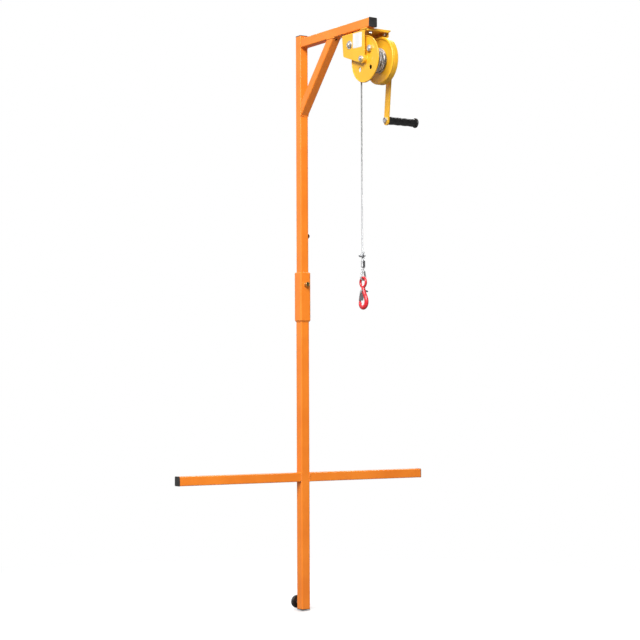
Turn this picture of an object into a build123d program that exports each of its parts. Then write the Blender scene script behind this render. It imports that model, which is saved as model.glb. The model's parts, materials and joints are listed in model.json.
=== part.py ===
"""Portable hoist crane: a two-piece mast on a crossbar, a braced jib, a hand winch and a hook."""
import math
import os

from build123d import *

os.makedirs("parts", exist_ok=True)

# Millimetres. Z is up and is the mast's axis, X runs along the crossbar, the jib points along -Y
# and the wall is on the +Y side. The origin is on the mast's axis at the crossbar's underside.

# Square tubes: the upper mast, jib, brace and crossbar share one section
tube = 30.0
tube_wall = 2.0
tube_corner = 3.0
mast_step = 1.0
sleeve_gap = 0.3
sleeve_wall = 3.7
sleeve_bevel = 2.5

# Frame lengths
foot_depth = 422.0
arm_reach = 475.0
sleeve_base = 532.5
sleeve_length = 163.0
socket_depth = 90.0
jib_base = 1448.0
jib_reach = 420.0
mast_rise = 12.0
brace_drop = 230.0
brace_reach = 200.0
brace_vent = 7.0
brace_vent_inset = 8.0

# Push-in end caps
cap_lip = 2.0
cap_overhang = 0.7
cap_plug = 14.0
cap_gap = 0.15
cap_draft = 20.0

# Threaded fasteners, sized from the thread
nut_across = 1.65
nut_height = 0.8
head_height = 0.65
thread_gap = 0.06
thread_end = 2.0

# Clamp bolt in the sleeve, side bolt in the upper mast
clamp_bolt_size = 8.0
clamp_drop = 40.5
clamp_standoff = 2.5
side_bolt_size = 8.0
side_bolt_height = 818.0
side_bolt_cap = 16.0
side_bolt_length = 10.5

# Wall pad on its stud
pad_radius = 21.5
pad_thickness = 12.0
pad_hub = 4.0
pad_round = 3.0
pad_lock = 5.5
pad_nut_gap = 1.0
stud_size = 10.0
stud_embed = 8.0
stud_tail = 22.0

# Winch bracket: a folded plate hung from two bars under the jib
bracket_width = 96.0
bracket_shift = 32.0
bracket_plate = 4.0
bracket_bend = 5.0
axle_inset = 42.0
axle_drop = 92.0
lobe = 14.0
bottom_slope = 19.4
tail_reach = 104.0
tail_round = 8.0
rear_reach = 111.0
bar_width = 32.0
bar_plate = 4.0
bar_lead = 9.5
rear_bar_inset = 10.0
bar_bolt = 8.0
bar_bolt_spread = 54.0
bar_bolt_shift = 7.0
axle_bolt = 10.0
axle_nut = 5.5
tie_back = 67.0
tie_up = 55.0
spacer_radius = 9.0
axle_washer = 9.5
tie_washer = 13.5
washer_plate = 1.5

# Drum
run_gap = 0.06
side_gap = 0.4
flange_radius = 74.5
flange_plate = 2.5
flange_lip = 2.0
flange_lip_width = 2.5
flange_hole = 15.0
flange_hole_circle = 42.0
drum_length = 57.0
barrel_radius = 20.0
barrel_wall = 3.0
boss_radius = 14.0
rope_clamp_bolt_size = 12.0
rope_clamp_nut_height = 8.0
rope_clamp_radius = 7.0
rope_clamp_plate = 3.5

# Geared flange: a dished web, a rolled lip in front and a plain band behind it
gear_web = 3.5
gear_rim = 76.0
gear_depth = 16.0
gear_edge = 1.5
dish_radius = 45.0
dish_rise = 2.4
lip_rise = 6.0
lip_width = 8.5
lip_round = 3.0
lip_length = 5.0
groove_depth = 1.8
groove_width = 1.5

# Gear pair inside the cup of the geared flange
module = 2.5
ring_teeth = 50
pinion_teeth = 12
pressure = math.radians(20)
ring_tip_cut = 1.5
ring_root_cut = 3.1
pinion_tip_cut = 2.2
pinion_root_cut = 3.1
backlash = 0.2
tooth_relief = 1.5
pinion_inset = 2.5
pinion_width = 9.0

# Crank shaft, load brake and ratchet
shaft_radius = 8.0
shaft_end = 6.0
bush_radius = 11.0
bush_flange = 13.5
bush_lip = 1.5
collar_radius = 14.0
collar_plate = 2.0
friction_radius = 19.5
friction_plate = 1.5
ratchet_radius = 25.0
ratchet_depth = 3.4
ratchet_teeth = 16
ratchet_plate = 4.0
hub_radius = 17.0
hub_plate = 3.5
pawl_back = 39.2
pawl_up = 16.7
pawl_boss = 7.0
pawl_tip = 1.9
pawl_tip_angle = 53.0
pawl_clear = 0.6
pawl_play = 0.3
notch_play = 1.2
pawl_drop = 8.6
pawl_pin_radius = 3.5
pawl_pin_shoulder = 4.5
pawl_pin_head = 6.0
pawl_pin_head_plate = 2.0
pawl_wire = 1.0
pawl_wire_pitch = 1.6
pawl_wire_turns = 2

# Crank and grip
crank_length = 232.8
crank_tilt = 6.1
crank_tail = 5.0
crank_width = 22.0
crank_plate = 6.0
grip_length = 113.0
grip_radius = 13.2
grip_taper = 0.6
grip_wave = 0.45
grip_waves = 4
grip_end = 16.0
grip_end_width = 6.0
grip_skin = 3.0
grip_bolt = 10.0

# Rope
rope_size = 5.0
rope_pitch = 5.6
rope_quarters = 32
rope_dive = 12.0
rope_dive_turn = 50.0
core_gap = 0.2
rope_exit = 9.0
rope_length = 604.0
strand_gap = 0.4
eye_radius = 9.3
eye_lean = 13.65
eye_bend = 25.0
ferrule_length = 20.0
ferrule_wall = 2.0
clip_gap = 12.0
clip_rod = 4.0
clip_play = 0.1
clip_saddle = 6.0
clip_height = 9.0
dead_end = 9.0
thimble_plate = 1.2
thimble_play = 0.1
thimble_leg = 17.0

# Hook and latch
hook_eye = 15.0
hook_eye_bar = 4.0
hook_seat = 0.3
hook_length = 62.0
hook_bowl = 18.0
hook_start = 165.0
hook_tip = 388.0
hook_body_thick = 7.5
latch_pin_size = 4.0
latch_pin_station = 0.3
latch_gap = 0.4
latch_plate = 1.5
latch_ear = 4.2
latch_front = 7.4
latch_tip_gap = 1.6
latch_tip_width = 9.0
latch_wire = 0.8
latch_wire_pitch = 1.3
latch_wire_turns = 2

# Places that follow from the sizes above
lower_tube = tube + 2 * mast_step
sleeve_inner = lower_tube + 2 * sleeve_gap
sleeve_tube = sleeve_inner + 2 * sleeve_wall
mast_joint = sleeve_base + sleeve_length - socket_depth
mast_top = jib_base + tube + mast_rise
clamp_z = sleeve_base + sleeve_length - clamp_drop
pad_z = -foot_depth + cap_lip + cap_plug + stud_size / 2 + pad_nut_gap
bracket_left = bracket_shift - bracket_width / 2
bracket_right = bracket_left + bracket_width
inner_left = bracket_left + bracket_plate
inner_right = bracket_right - bracket_plate
bracket_top = jib_base - bar_plate
axle_y = axle_inset - jib_reach
axle_z = bracket_top - axle_drop
crank_y = axle_y
crank_z = axle_z + module * (ring_teeth - pinion_teeth) / 2
bar_places = (axle_y - bar_lead, axle_y + rear_reach - bar_width / 2)
bar_insets = (0.0, rear_bar_inset)
plate_front = bar_places[0] - bar_width / 2
web_x = drum_length + gear_web
rim_x = drum_length + gear_depth
pinion_x = web_x + pinion_inset
collar_x = bracket_right + bush_lip + side_gap
brake_x = collar_x + collar_plate
ratchet_x = brake_x + friction_plate
hub_x = ratchet_x + ratchet_plate + friction_plate
arm_x = hub_x + hub_plate
arm_out = arm_x + crank_plate
grip_y = crank_y + crank_length * math.sin(math.radians(crank_tilt))
grip_z = crank_z - crank_length * math.cos(math.radians(crank_tilt))
pawl_y = crank_y + pawl_back
pawl_z = crank_z + pawl_up
rope_radius = rope_size / 2
core_radius = flange_hole_circle - rope_clamp_radius - core_gap
wind_radius = core_radius + core_gap + rope_radius
rope_y = axle_y + wind_radius
rope_top = axle_z - rope_size
rope_base = rope_top - rope_length
strand = rope_size + strand_gap
hook_x = rope_exit + strand / 2
lean = math.radians(eye_lean)


def across(x, y, z):
    """Plane facing +X at a point, with its own x along +Y and its own y along +Z."""
    return Plane(origin=(x, y, z), x_dir=(0, 1, 0), z_dir=(1, 0, 0))


def rod(start, axis, radius, length, bore=0.0, mode=Mode.ADD):
    """Round bar, or a tube if it has a bore, from a point along an axis."""
    with BuildSketch(Plane(origin=start, z_dir=axis)) as ring:
        Circle(radius)
        if bore > 0:
            Circle(bore, mode=Mode.SUBTRACT)
    extrude(ring.sketch, amount=length, mode=mode)


def hexagon(start, axis, thread, length, bore=0.0):
    """Hexagonal nut or bolt head from a point along an axis."""
    with BuildSketch(Plane(origin=start, z_dir=axis)) as flats:
        RegularPolygon(thread * nut_across / 2, 6, major_radius=False)
        if bore > 0:
            Circle(bore, mode=Mode.SUBTRACT)
    extrude(flats.sketch, amount=length)


def nut(start, axis, thread):
    """Standard nut on its thread."""
    hexagon(start, axis, thread, nut_height * thread, thread / 2 + thread_gap)


def square_tube(plane, size, wall, length):
    """Square tube with rounded corners, from a plane along its normal."""
    inside = size - 2 * wall
    with BuildSketch(plane) as section:
        RectangleRounded(size, size, tube_corner)
        RectangleRounded(inside, inside, max(tube_corner - wall, 0.5), mode=Mode.SUBTRACT)
    extrude(section.sketch, amount=length)


def end_cap(plane, size):
    """Push-in cap: a lip over the tube's end and a plug inside it."""
    lip = size + 2 * cap_overhang
    plug = size - 2 * tube_wall - 2 * cap_gap
    with BuildSketch(plane) as cover:
        RectangleRounded(lip, lip, tube_corner + cap_overhang)
    extrude(cover.sketch, amount=cap_lip, taper=cap_draft)
    with BuildSketch(plane) as block:
        RectangleRounded(plug, plug, 1.0)
    extrude(block.sketch, amount=-cap_plug)


def save(builder, name):
    """Label a finished sub-part and write its file."""
    builder.part.label = name
    export_step(builder.part, "parts/" + name + ".step")


def involute(angle):
    """Involute of an angle."""
    return math.tan(angle) - angle


def flank(teeth, inner, outer, thinning):
    """Radius and half angle of an involute tooth at steps from its inner to its outer radius."""
    pitch_radius = module * teeth / 2
    base_radius = pitch_radius * math.cos(pressure)
    middle = (math.pi * module / 4 - thinning) / pitch_radius + involute(pressure)
    start = max(inner, base_radius)
    steps = [start + (outer - start) * i / 3 for i in range(4)]
    if inner < base_radius:
        steps.insert(0, inner)
    return [(r, middle - involute(math.acos(base_radius / max(r, base_radius)))) for r in steps]


def gear_outline(teeth, inner, outer, thinning):
    """Closed outline of all the teeth, one of them centred on the sketch's +y."""
    side = flank(teeth, inner, outer, thinning)
    outline = []
    for k in range(teeth):
        centre = math.pi / 2 + 2 * math.pi * k / teeth
        polar = [(r, centre - half) for r, half in side]
        polar += [(r, centre + half) for r, half in reversed(side)]
        outline += [(r * math.cos(a), r * math.sin(a)) for r, a in polar]
    return outline


def coil_points(centre, radius, pitch, quarters):
    """Points and directions at the quarter turns of a coil along +X, from its +Y side."""
    points = []
    for k in range(quarters + 1):
        a = k * math.pi / 2
        place = Vector(pitch * k / 4, radius * math.cos(a), radius * math.sin(a)) + Vector(*centre)
        heading = Vector(pitch / (2 * math.pi), -radius * math.sin(a), radius * math.cos(a))
        points.append((place, heading.normalized()))
    return points


def biarc(start, end):
    """Meeting point and direction of the two arcs that join two placed directions."""
    p0, t0 = start
    p1, t1 = end
    chord = p1 - p0
    total = t0 + t1
    bend = 2 * (1 - t0.dot(t1))
    along = chord.dot(total)
    reach = (math.sqrt(along * along + bend * chord.dot(chord)) - along) / bend
    first = p0 + t0 * reach
    second = p1 - t1 * reach
    return (first + second) * 0.5, (second - first).normalized()


def coil_gap(points, wire):
    """Least gap between the neighbouring turns of a coil, measured on its points."""
    places = [p for p, heading in points]
    pairs = [(a, b) for i, a in enumerate(places) for b in places[i + 3:]]
    return min((a - b).length for a, b in pairs) - wire


def coil(points, wire, mode=Mode.ADD):
    """Round wire along a coil, with straight ends one wire long."""
    first, first_way = points[0]
    last, last_way = points[-1]
    with BuildLine() as line:
        Line(first - first_way * wire, first)
        for start, end in zip(points, points[1:]):
            meet, way = biarc(start, end)
            TangentArc(start[0], meet, tangent=start[1])
            TangentArc(meet, end[0], tangent=way)
        Line(last, last + last_way * wire)
    with BuildSketch(Plane(origin=first - first_way * wire, z_dir=first_way)) as section:
        Circle(wire / 2)
    sweep(section.sketch, path=line.wires()[0], mode=mode)


# Lower mast: the foot section, with a hole on the wall side for the pad's stud
with BuildPart() as lower_mast:
    foot_end = cap_lip - foot_depth
    square_tube(Plane.XY.offset(foot_end), lower_tube, tube_wall, mast_joint - foot_end)
    rod((0, 0, pad_z), (0, 1, 0), stud_size / 2 + run_gap, lower_tube, mode=Mode.SUBTRACT)
save(lower_mast, "lower_mast")

with BuildPart() as mast_foot_plug:
    end_cap(Plane(origin=(0, 0, foot_end), x_dir=(1, 0, 0), z_dir=(0, 0, -1)), lower_tube)
save(mast_foot_plug, "mast_foot_plug")

# Sleeve welded on the lower mast: the upper mast drops into it
with BuildPart() as mast_sleeve:
    with BuildSketch(Plane.XY.offset(sleeve_base)):
        RectangleRounded(sleeve_tube, sleeve_tube, tube_corner + sleeve_wall / 2)
        RectangleRounded(sleeve_inner, sleeve_inner, tube_corner, mode=Mode.SUBTRACT)
    extrude(amount=sleeve_length)
    for end in (0, -1):
        chamfer(mast_sleeve.faces().sort_by(Axis.Z)[end].outer_wire().edges(), sleeve_bevel)
    rod((0, 0, clamp_z), (0, -1, 0), clamp_bolt_size / 2 + thread_gap, sleeve_tube, mode=Mode.SUBTRACT)
save(mast_sleeve, "mast_sleeve")

with BuildPart() as clamp_nut:
    nut((0, -sleeve_tube / 2, clamp_z), (0, -1, 0), clamp_bolt_size)
save(clamp_nut, "clamp_nut")

# Clamp bolt: its tip bears on the upper mast
with BuildPart() as clamp_bolt:
    clamp_head = sleeve_tube / 2 + nut_height * clamp_bolt_size + clamp_standoff
    rod((0, -tube / 2, clamp_z), (0, -1, 0), clamp_bolt_size / 2, clamp_head - tube / 2)
    hexagon((0, -clamp_head, clamp_z), (0, -1, 0), clamp_bolt_size, head_height * clamp_bolt_size)
save(clamp_bolt, "clamp_bolt")

# Crossbar: an arm and an end cap on each side of the lower mast
for side, name in ((-1, "left"), (1, "right")):
    arm_face = Plane(origin=(side * lower_tube / 2, 0, tube / 2), x_dir=(0, 1, 0), z_dir=(side, 0, 0))
    with BuildPart() as arm:
        square_tube(arm_face, tube, tube_wall, arm_reach - cap_lip - lower_tube / 2)
    save(arm, "crossbar_" + name + "_arm")
    with BuildPart() as arm_cap:
        end_cap(arm_face.offset(arm_reach - cap_lip - lower_tube / 2), tube)
    save(arm_cap, name + "_arm_cap")

# Wall pad: a round foot on a stud that screws through the nut welded on the mast
pad_nut_y = lower_tube / 2
lock_y = pad_nut_y + nut_height * stud_size
pad_y = lock_y + pad_lock
with BuildPart() as pad_nut:
    nut((0, pad_nut_y, pad_z), (0, 1, 0), stud_size)
save(pad_nut, "pad_nut")

with BuildPart() as pad_lock_nut:
    hexagon((0, lock_y, pad_z), (0, 1, 0), stud_size, pad_lock, stud_size / 2 + thread_gap)
save(pad_lock_nut, "pad_lock_nut")

with BuildPart() as wall_pad:
    rod((0, pad_y, pad_z), (0, 1, 0), pad_radius / 2, pad_hub)
    rod((0, pad_y + pad_hub, pad_z), (0, 1, 0), pad_radius, pad_thickness)
    fillet(wall_pad.edges().filter_by(GeomType.CIRCLE).sort_by(SortBy.RADIUS)[-2:], pad_round)
    rod((0, pad_y, pad_z), (0, 1, 0), stud_size / 2 + thread_gap, stud_embed, mode=Mode.SUBTRACT)
save(wall_pad, "wall_pad")

with BuildPart() as pad_stud:
    stud_start = pad_nut_y - stud_tail
    rod((0, stud_start, pad_z), (0, 1, 0), stud_size / 2, pad_y + stud_embed - stud_start)
save(pad_stud, "pad_stud")

# Upper mast: stands on the lower mast's end inside the sleeve
with BuildPart() as upper_mast:
    square_tube(Plane.XY.offset(mast_joint), tube, tube_wall, mast_top - cap_lip - mast_joint)
    rod((0, 0, side_bolt_height), (1, 0, 0), side_bolt_size / 2 + thread_gap, tube, mode=Mode.SUBTRACT)
save(upper_mast, "upper_mast")

with BuildPart() as mast_top_plug:
    end_cap(Plane.XY.offset(mast_top - cap_lip), tube)
save(mast_top_plug, "mast_top_plug")

with BuildPart() as side_bolt:
    rod((tube / 2 - side_bolt_size, 0, side_bolt_height), (1, 0, 0), side_bolt_size / 2, side_bolt_size + 1)
    rod((tube / 2, 0, side_bolt_height), (1, 0, 0), side_bolt_cap / 2, side_bolt_length)
    fillet(side_bolt.faces().sort_by(Axis.X)[-1].edges(), side_bolt_cap / 4)
save(side_bolt, "side_bolt")

# Jib: a level arm on the mast's front face, its end capped
jib_face = Plane(origin=(0, -tube / 2, jib_base + tube / 2), x_dir=(1, 0, 0), z_dir=(0, -1, 0))
with BuildPart() as jib_arm:
    square_tube(jib_face, tube, tube_wall, jib_reach - cap_lip - tube / 2)
save(jib_arm, "jib_arm")

with BuildPart() as jib_end_cap:
    end_cap(jib_face.offset(jib_reach - cap_lip - tube / 2), tube)
save(jib_end_cap, "jib_end_cap")

# Brace: mitred between the mast's front face and the jib's underside, with a vent hole near its top
brace_run = math.hypot(brace_drop, brace_reach)
brace_way = (0, -brace_reach / brace_run, brace_drop / brace_run)
brace_back = (0, brace_drop / brace_run, brace_reach / brace_run)
brace_middle = (
    0,
    -(tube + brace_reach) / 2 + brace_back[1] * tube / 2,
    jib_base - brace_drop / 2 + brace_back[2] * tube / 2,
)
brace_top = (
    0,
    -tube / 2 - brace_reach - brace_vent_inset * brace_way[1],
    jib_base - brace_vent_inset * brace_way[2],
)
with BuildPart() as jib_brace:
    brace_plane = Plane(origin=brace_middle, x_dir=(1, 0, 0), z_dir=brace_way)
    square_tube(brace_plane.offset(-brace_run), tube, tube_wall, 2 * brace_run)
    split(bisect_by=Plane(origin=(0, -tube / 2, 0), z_dir=(0, -1, 0)), keep=Keep.TOP)
    split(bisect_by=Plane(origin=(0, 0, jib_base), z_dir=(0, 0, -1)), keep=Keep.TOP)
    rod(brace_top, brace_back, brace_vent / 2, 2 * tube_wall, mode=Mode.SUBTRACT)
save(jib_brace, "jib_brace")

# Two bars welded under the jib, with the studs that carry the winch bracket
stud_drop = bracket_plate + nut_height * bar_bolt + thread_end
stud_places = [
    (bracket_shift + bar_bolt_shift + side * bar_bolt_spread / 2, y, bracket_top)
    for y in bar_places
    for side in (-1, 1)
]
with BuildPart() as winch_mount_bars:
    for y, inset in zip(bar_places, bar_insets):
        with BuildSketch(Plane(origin=(bracket_shift + inset / 2, y, bracket_top), z_dir=(0, 0, 1))):
            Rectangle(bracket_width - inset, bar_width)
        extrude(amount=bar_plate)
    for place in stud_places:
        rod(place, (0, 0, -1), bar_bolt / 2, stud_drop)
save(winch_mount_bars, "winch_mount_bars")

with BuildPart() as winch_mount_nuts:
    for x, y, z in stud_places:
        nut((x, y, z - bracket_plate), (0, 0, -1), bar_bolt)
save(winch_mount_nuts, "winch_mount_nuts")

# Winch bracket: one plate folded down at both sides, its cheeks tapering to the axle and cut back
# behind the front edge of the top
slope = math.radians(bottom_slope)
cheek_low = (lobe * math.sin(slope), -lobe * math.cos(slope))
cheek_tail = (tail_reach, cheek_low[1] + (tail_reach - cheek_low[0]) * math.tan(slope))
with BuildPart() as winch_bracket:
    with BuildSketch(across(bracket_left, axle_y, axle_z)):
        with BuildLine():
            Line((-lobe, axle_drop), (-lobe, 0))
            CenterArc((0, 0), lobe, 180, 90 + bottom_slope)
            FilletPolyline(cheek_low, cheek_tail, (rear_reach, axle_drop), radius=tail_round)
            Line((rear_reach, axle_drop), (-lobe, axle_drop))
        make_face()
    extrude(amount=bracket_width)
    with BuildSketch(across(inner_left, axle_y, axle_z)):
        with Locations((rear_reach / 2, -bracket_plate)):
            Rectangle(2 * rear_reach, 2 * axle_drop)
    extrude(amount=bracket_width - 2 * bracket_plate, mode=Mode.SUBTRACT)
    fillet(winch_bracket.edges().filter_by(Axis.Y).group_by(Axis.Z)[-1], bracket_bend)
    fillet(winch_bracket.edges().filter_by(Axis.Y).group_by(Axis.Z)[-2], bracket_bend - bracket_plate)
    with BuildSketch(across(bracket_left + bracket_bend, plate_front, bracket_top)):
        with Locations((bar_width / 2, -bracket_plate / 2)):
            Rectangle(bar_width, bracket_plate)
    extrude(amount=bracket_width - 2 * bracket_bend)
    for u, v in ((0, 0), (tie_back, tie_up)):
        bolt_start = (bracket_left, axle_y + u, axle_z + v)
        rod(bolt_start, (1, 0, 0), axle_bolt / 2 + thread_gap, bracket_width, mode=Mode.SUBTRACT)
    bush_hole = bush_radius + run_gap
    pawl_hole = pawl_pin_radius + thread_gap
    rod((inner_right, crank_y, crank_z), (1, 0, 0), bush_hole, bracket_plate, mode=Mode.SUBTRACT)
    rod((inner_right, pawl_y, pawl_z), (1, 0, 0), pawl_hole, bracket_plate, mode=Mode.SUBTRACT)
    for place in stud_places:
        rod(place, (0, 0, -1), bar_bolt / 2 + thread_gap, bracket_plate, mode=Mode.SUBTRACT)
save(winch_bracket, "winch_bracket")

# Axle and tie: bolts through both cheeks, each with a spacer tube between them
bolt_reach = bracket_width + washer_plate + axle_nut + 0.5 * thread_end
for name, u, v in (("drum", 0, 0), ("tie", tie_back, tie_up)):
    head_face = (bracket_right, axle_y + u, axle_z + v)
    with BuildPart() as through_bolt:
        rod(head_face, (-1, 0, 0), axle_bolt / 2, bolt_reach)
        hexagon(head_face, (1, 0, 0), axle_bolt, head_height * axle_bolt)
    save(through_bolt, name + "_bolt")
    with BuildPart() as spacer:
        inner_face = (inner_left, axle_y + u, axle_z + v)
        rod(inner_face, (1, 0, 0), spacer_radius, inner_right - inner_left, axle_bolt / 2 + thread_gap)
    save(spacer, name + "_spacer")

with BuildPart() as bracket_washers:
    for u, v, washer_radius in ((0, 0, axle_washer), (tie_back, tie_up, tie_washer)):
        plate_face = (bracket_left, axle_y + u, axle_z + v)
        rod(plate_face, (-1, 0, 0), washer_radius, washer_plate, axle_bolt / 2 + thread_gap)
save(bracket_washers, "bracket_washers")

with BuildPart() as bracket_nuts:
    for u, v in ((0, 0), (tie_back, tie_up)):
        nut_face = (bracket_left - washer_plate, axle_y + u, axle_z + v)
        hexagon(nut_face, (-1, 0, 0), axle_bolt, axle_nut, axle_bolt / 2 + thread_gap)
save(bracket_nuts, "bracket_nuts")

# Drum: a barrel between a plain flange and a cup-shaped geared flange, turning on the axle's spacer
bore = spacer_radius + run_gap
with BuildPart() as drum_barrel:
    rod((0, axle_y, axle_z), (1, 0, 0), barrel_radius, drum_length, barrel_radius - barrel_wall)
save(drum_barrel, "drum_barrel")

with BuildPart() as drum_left_flange:
    lip_face = -flange_plate - flange_lip
    rod((lip_face, axle_y, axle_z), (1, 0, 0), flange_radius, flange_plate + flange_lip)
    fillet(drum_left_flange.faces().sort_by(Axis.X)[0].edges(), flange_lip)
    pan_radius = flange_radius - flange_lip_width
    rod((lip_face, axle_y, axle_z), (1, 0, 0), pan_radius, flange_lip, mode=Mode.SUBTRACT)
    boss_x = inner_left + side_gap
    rod((boss_x, axle_y, axle_z), (1, 0, 0), boss_radius, -flange_plate - boss_x)
    rod((inner_left, axle_y, axle_z), (1, 0, 0), bore, -inner_left, mode=Mode.SUBTRACT)
    for k in range(4):
        turn = math.radians(45 + 90 * k)
        hole_y = axle_y + flange_hole_circle * math.cos(turn)
        hole_z = axle_z + flange_hole_circle * math.sin(turn)
        hole_radius = (rope_clamp_bolt_size if k == 1 else flange_hole) / 2 + thread_gap
        rod((-flange_plate, hole_y, hole_z), (1, 0, 0), hole_radius, flange_plate, mode=Mode.SUBTRACT)
save(drum_left_flange, "drum_left_flange")

ring_pitch = module * ring_teeth / 2
ring_root = ring_pitch + ring_root_cut
ring_tip = ring_pitch - ring_tip_cut
lip_x = drum_length - lip_rise
lip_inner = gear_rim - lip_width
groove_x = lip_x + lip_length
gear_profile = (
    (drum_length, bore),
    (drum_length, dish_radius),
    (drum_length - dish_rise, lip_inner),
    (lip_x, lip_inner),
    (lip_x, gear_rim),
    (groove_x, gear_rim),
    (groove_x + groove_width / 2, gear_rim - groove_depth),
    (groove_x + groove_width, gear_rim - groove_depth),
    (groove_x + 3 * groove_width / 2, gear_rim),
    (rim_x, gear_rim),
    (rim_x, bore),
)
with BuildPart() as drum_gear_flange:
    with BuildSketch(Plane(origin=(0, axle_y, axle_z), x_dir=(1, 0, 0), z_dir=(0, -1, 0))):
        Polygon(*gear_profile, align=None)
    revolve(axis=Axis((0, axle_y, axle_z), (1, 0, 0)))
    fillet(drum_gear_flange.faces().sort_by(Axis.X)[0].edges(), lip_round)
    fillet(drum_gear_flange.faces().sort_by(Axis.X)[-1].outer_wire().edges(), gear_edge)
    rod((web_x, axle_y, axle_z), (1, 0, 0), ring_root, tooth_relief, mode=Mode.SUBTRACT)
    with BuildSketch(across(web_x + tooth_relief, axle_y, axle_z)):
        Polygon(*gear_outline(ring_teeth, ring_tip, ring_root, 0), align=None)
    extrude(amount=rim_x - web_x - tooth_relief, mode=Mode.SUBTRACT)
    rod((web_x, axle_y, axle_z), (1, 0, 0), boss_radius, inner_right - side_gap - web_x)
    rod((drum_length, axle_y, axle_z), (1, 0, 0), bore, inner_right - drum_length, mode=Mode.SUBTRACT)
save(drum_gear_flange, "drum_gear_flange")

# Bolt that clamps the rope's end to the plain flange
clamp_turn = math.radians(135)
rope_bolt_y = axle_y + flange_hole_circle * math.cos(clamp_turn)
rope_bolt_z = axle_z + flange_hole_circle * math.sin(clamp_turn)
rope_bolt_end = -flange_plate - rope_clamp_nut_height - 0.5 * thread_end
with BuildPart() as rope_clamp_bolt:
    rod((0, rope_bolt_y, rope_bolt_z), (1, 0, 0), rope_clamp_radius, rope_clamp_plate)
    bolt_start = (rope_bolt_end, rope_bolt_y, rope_bolt_z)
    rod(bolt_start, (1, 0, 0), rope_clamp_bolt_size / 2, -rope_bolt_end + 1)
save(rope_clamp_bolt, "rope_clamp_bolt")

with BuildPart() as rope_clamp_nut:
    nut_face = (-flange_plate, rope_bolt_y, rope_bolt_z)
    nut_bore = rope_clamp_bolt_size / 2 + thread_gap
    hexagon(nut_face, (-1, 0, 0), rope_clamp_bolt_size, rope_clamp_nut_height, nut_bore)
save(rope_clamp_nut, "rope_clamp_nut")

# Rope on the drum: the inner layers as one plain core, the outer layer wound and tucked into it
rope_points = coil_points((rope_exit, axle_y, axle_z), wind_radius, rope_pitch, rope_quarters)
rope_points[0] = (rope_points[0][0], Vector(0, 0, 1))
dive = math.radians(rope_dive_turn)
dive_start, dive_way = rope_points[-1]
dive_in = (Vector(dive_start.X, axle_y, axle_z) - dive_start).normalized()
dive_place = dive_start + dive_way * rope_dive * math.sin(dive) + dive_in * rope_dive * (1 - math.cos(dive))
rope_points.append((dive_place, dive_way * math.cos(dive) + dive_in * math.sin(dive)))
with BuildPart() as rope_core:
    rod((0, axle_y, axle_z), (1, 0, 0), core_radius, drum_length, barrel_radius)
    coil(rope_points[-2:], rope_size + 2 * core_gap, mode=Mode.SUBTRACT)
save(rope_core, "rope_core")

print("wound_rope least gap", round(coil_gap(rope_points, rope_size), 3))
with BuildPart() as wound_rope:
    coil(rope_points, rope_size)
save(wound_rope, "wound_rope")

# Crank shaft: the pinion, the bearing, the brake collar and the threaded end in one piece
with BuildPart() as pinion_shaft:
    pinion_pitch = module * pinion_teeth / 2
    with BuildSketch(across(pinion_x, crank_y, crank_z)):
        pinion_root = pinion_pitch - pinion_root_cut
        pinion_tip = pinion_pitch + pinion_tip_cut
        Polygon(*gear_outline(pinion_teeth, pinion_root, pinion_tip, backlash), align=None)
    extrude(amount=pinion_width)
    rod((pinion_x, crank_y, crank_z), (1, 0, 0), shaft_radius, brake_x - pinion_x)
    rod((collar_x, crank_y, crank_z), (1, 0, 0), collar_radius, collar_plate)
    thread_tip = arm_out + nut_height * 2 * shaft_end + thread_end
    rod((brake_x, crank_y, crank_z), (1, 0, 0), shaft_end, thread_tip - brake_x)
save(pinion_shaft, "pinion_shaft")

with BuildPart() as shaft_bush:
    bush_start = pinion_x + pinion_width + side_gap
    shaft_hole = shaft_radius + run_gap
    bush_length = bracket_right + bush_lip - bush_start
    rod((bush_start, crank_y, crank_z), (1, 0, 0), bush_radius, bush_length, shaft_hole)
    rod((bracket_right, crank_y, crank_z), (1, 0, 0), bush_flange, bush_lip, shaft_hole)
save(shaft_bush, "shaft_bush")

# Load brake: a ratchet wheel between two friction discs, pressed by the crank's hub
shaft_fit = shaft_end + thread_gap
with BuildPart() as friction_discs:
    for x in (brake_x, ratchet_x + ratchet_plate):
        rod((x, crank_y, crank_z), (1, 0, 0), friction_radius, friction_plate, shaft_fit)
save(friction_discs, "friction_discs")

# The pawl hangs clear of the teeth at rest, and drops into the notch under its tip
tip_reach = ratchet_radius + pawl_clear + pawl_tip
tip_u = tip_reach * math.cos(math.radians(pawl_tip_angle))
tip_v = tip_reach * math.sin(math.radians(pawl_tip_angle))
swing = math.radians(pawl_drop)
drop_u = pawl_back + (tip_u - pawl_back) * math.cos(swing) - (tip_v - pawl_up) * math.sin(swing)
drop_v = pawl_up + (tip_u - pawl_back) * math.sin(swing) + (tip_v - pawl_up) * math.cos(swing)
stop_angle = math.atan2(drop_v, drop_u) + math.asin((pawl_tip + notch_play) / math.hypot(drop_u, drop_v))
with BuildPart() as ratchet_wheel:
    ratchet_root = ratchet_radius - ratchet_depth
    teeth = []
    for k in range(ratchet_teeth):
        notch = stop_angle + 2 * math.pi * k / ratchet_teeth
        teeth += [(r * math.cos(notch), r * math.sin(notch)) for r in (ratchet_root, ratchet_radius)]
    with BuildSketch(across(ratchet_x, crank_y, crank_z)):
        Polygon(*teeth, align=None)
        Circle(shaft_fit, mode=Mode.SUBTRACT)
    extrude(amount=ratchet_plate)
save(ratchet_wheel, "ratchet_wheel")

with BuildPart() as crank_hub:
    rod((hub_x, crank_y, crank_z), (1, 0, 0), hub_radius, hub_plate, shaft_fit)
save(crank_hub, "crank_hub")

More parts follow.
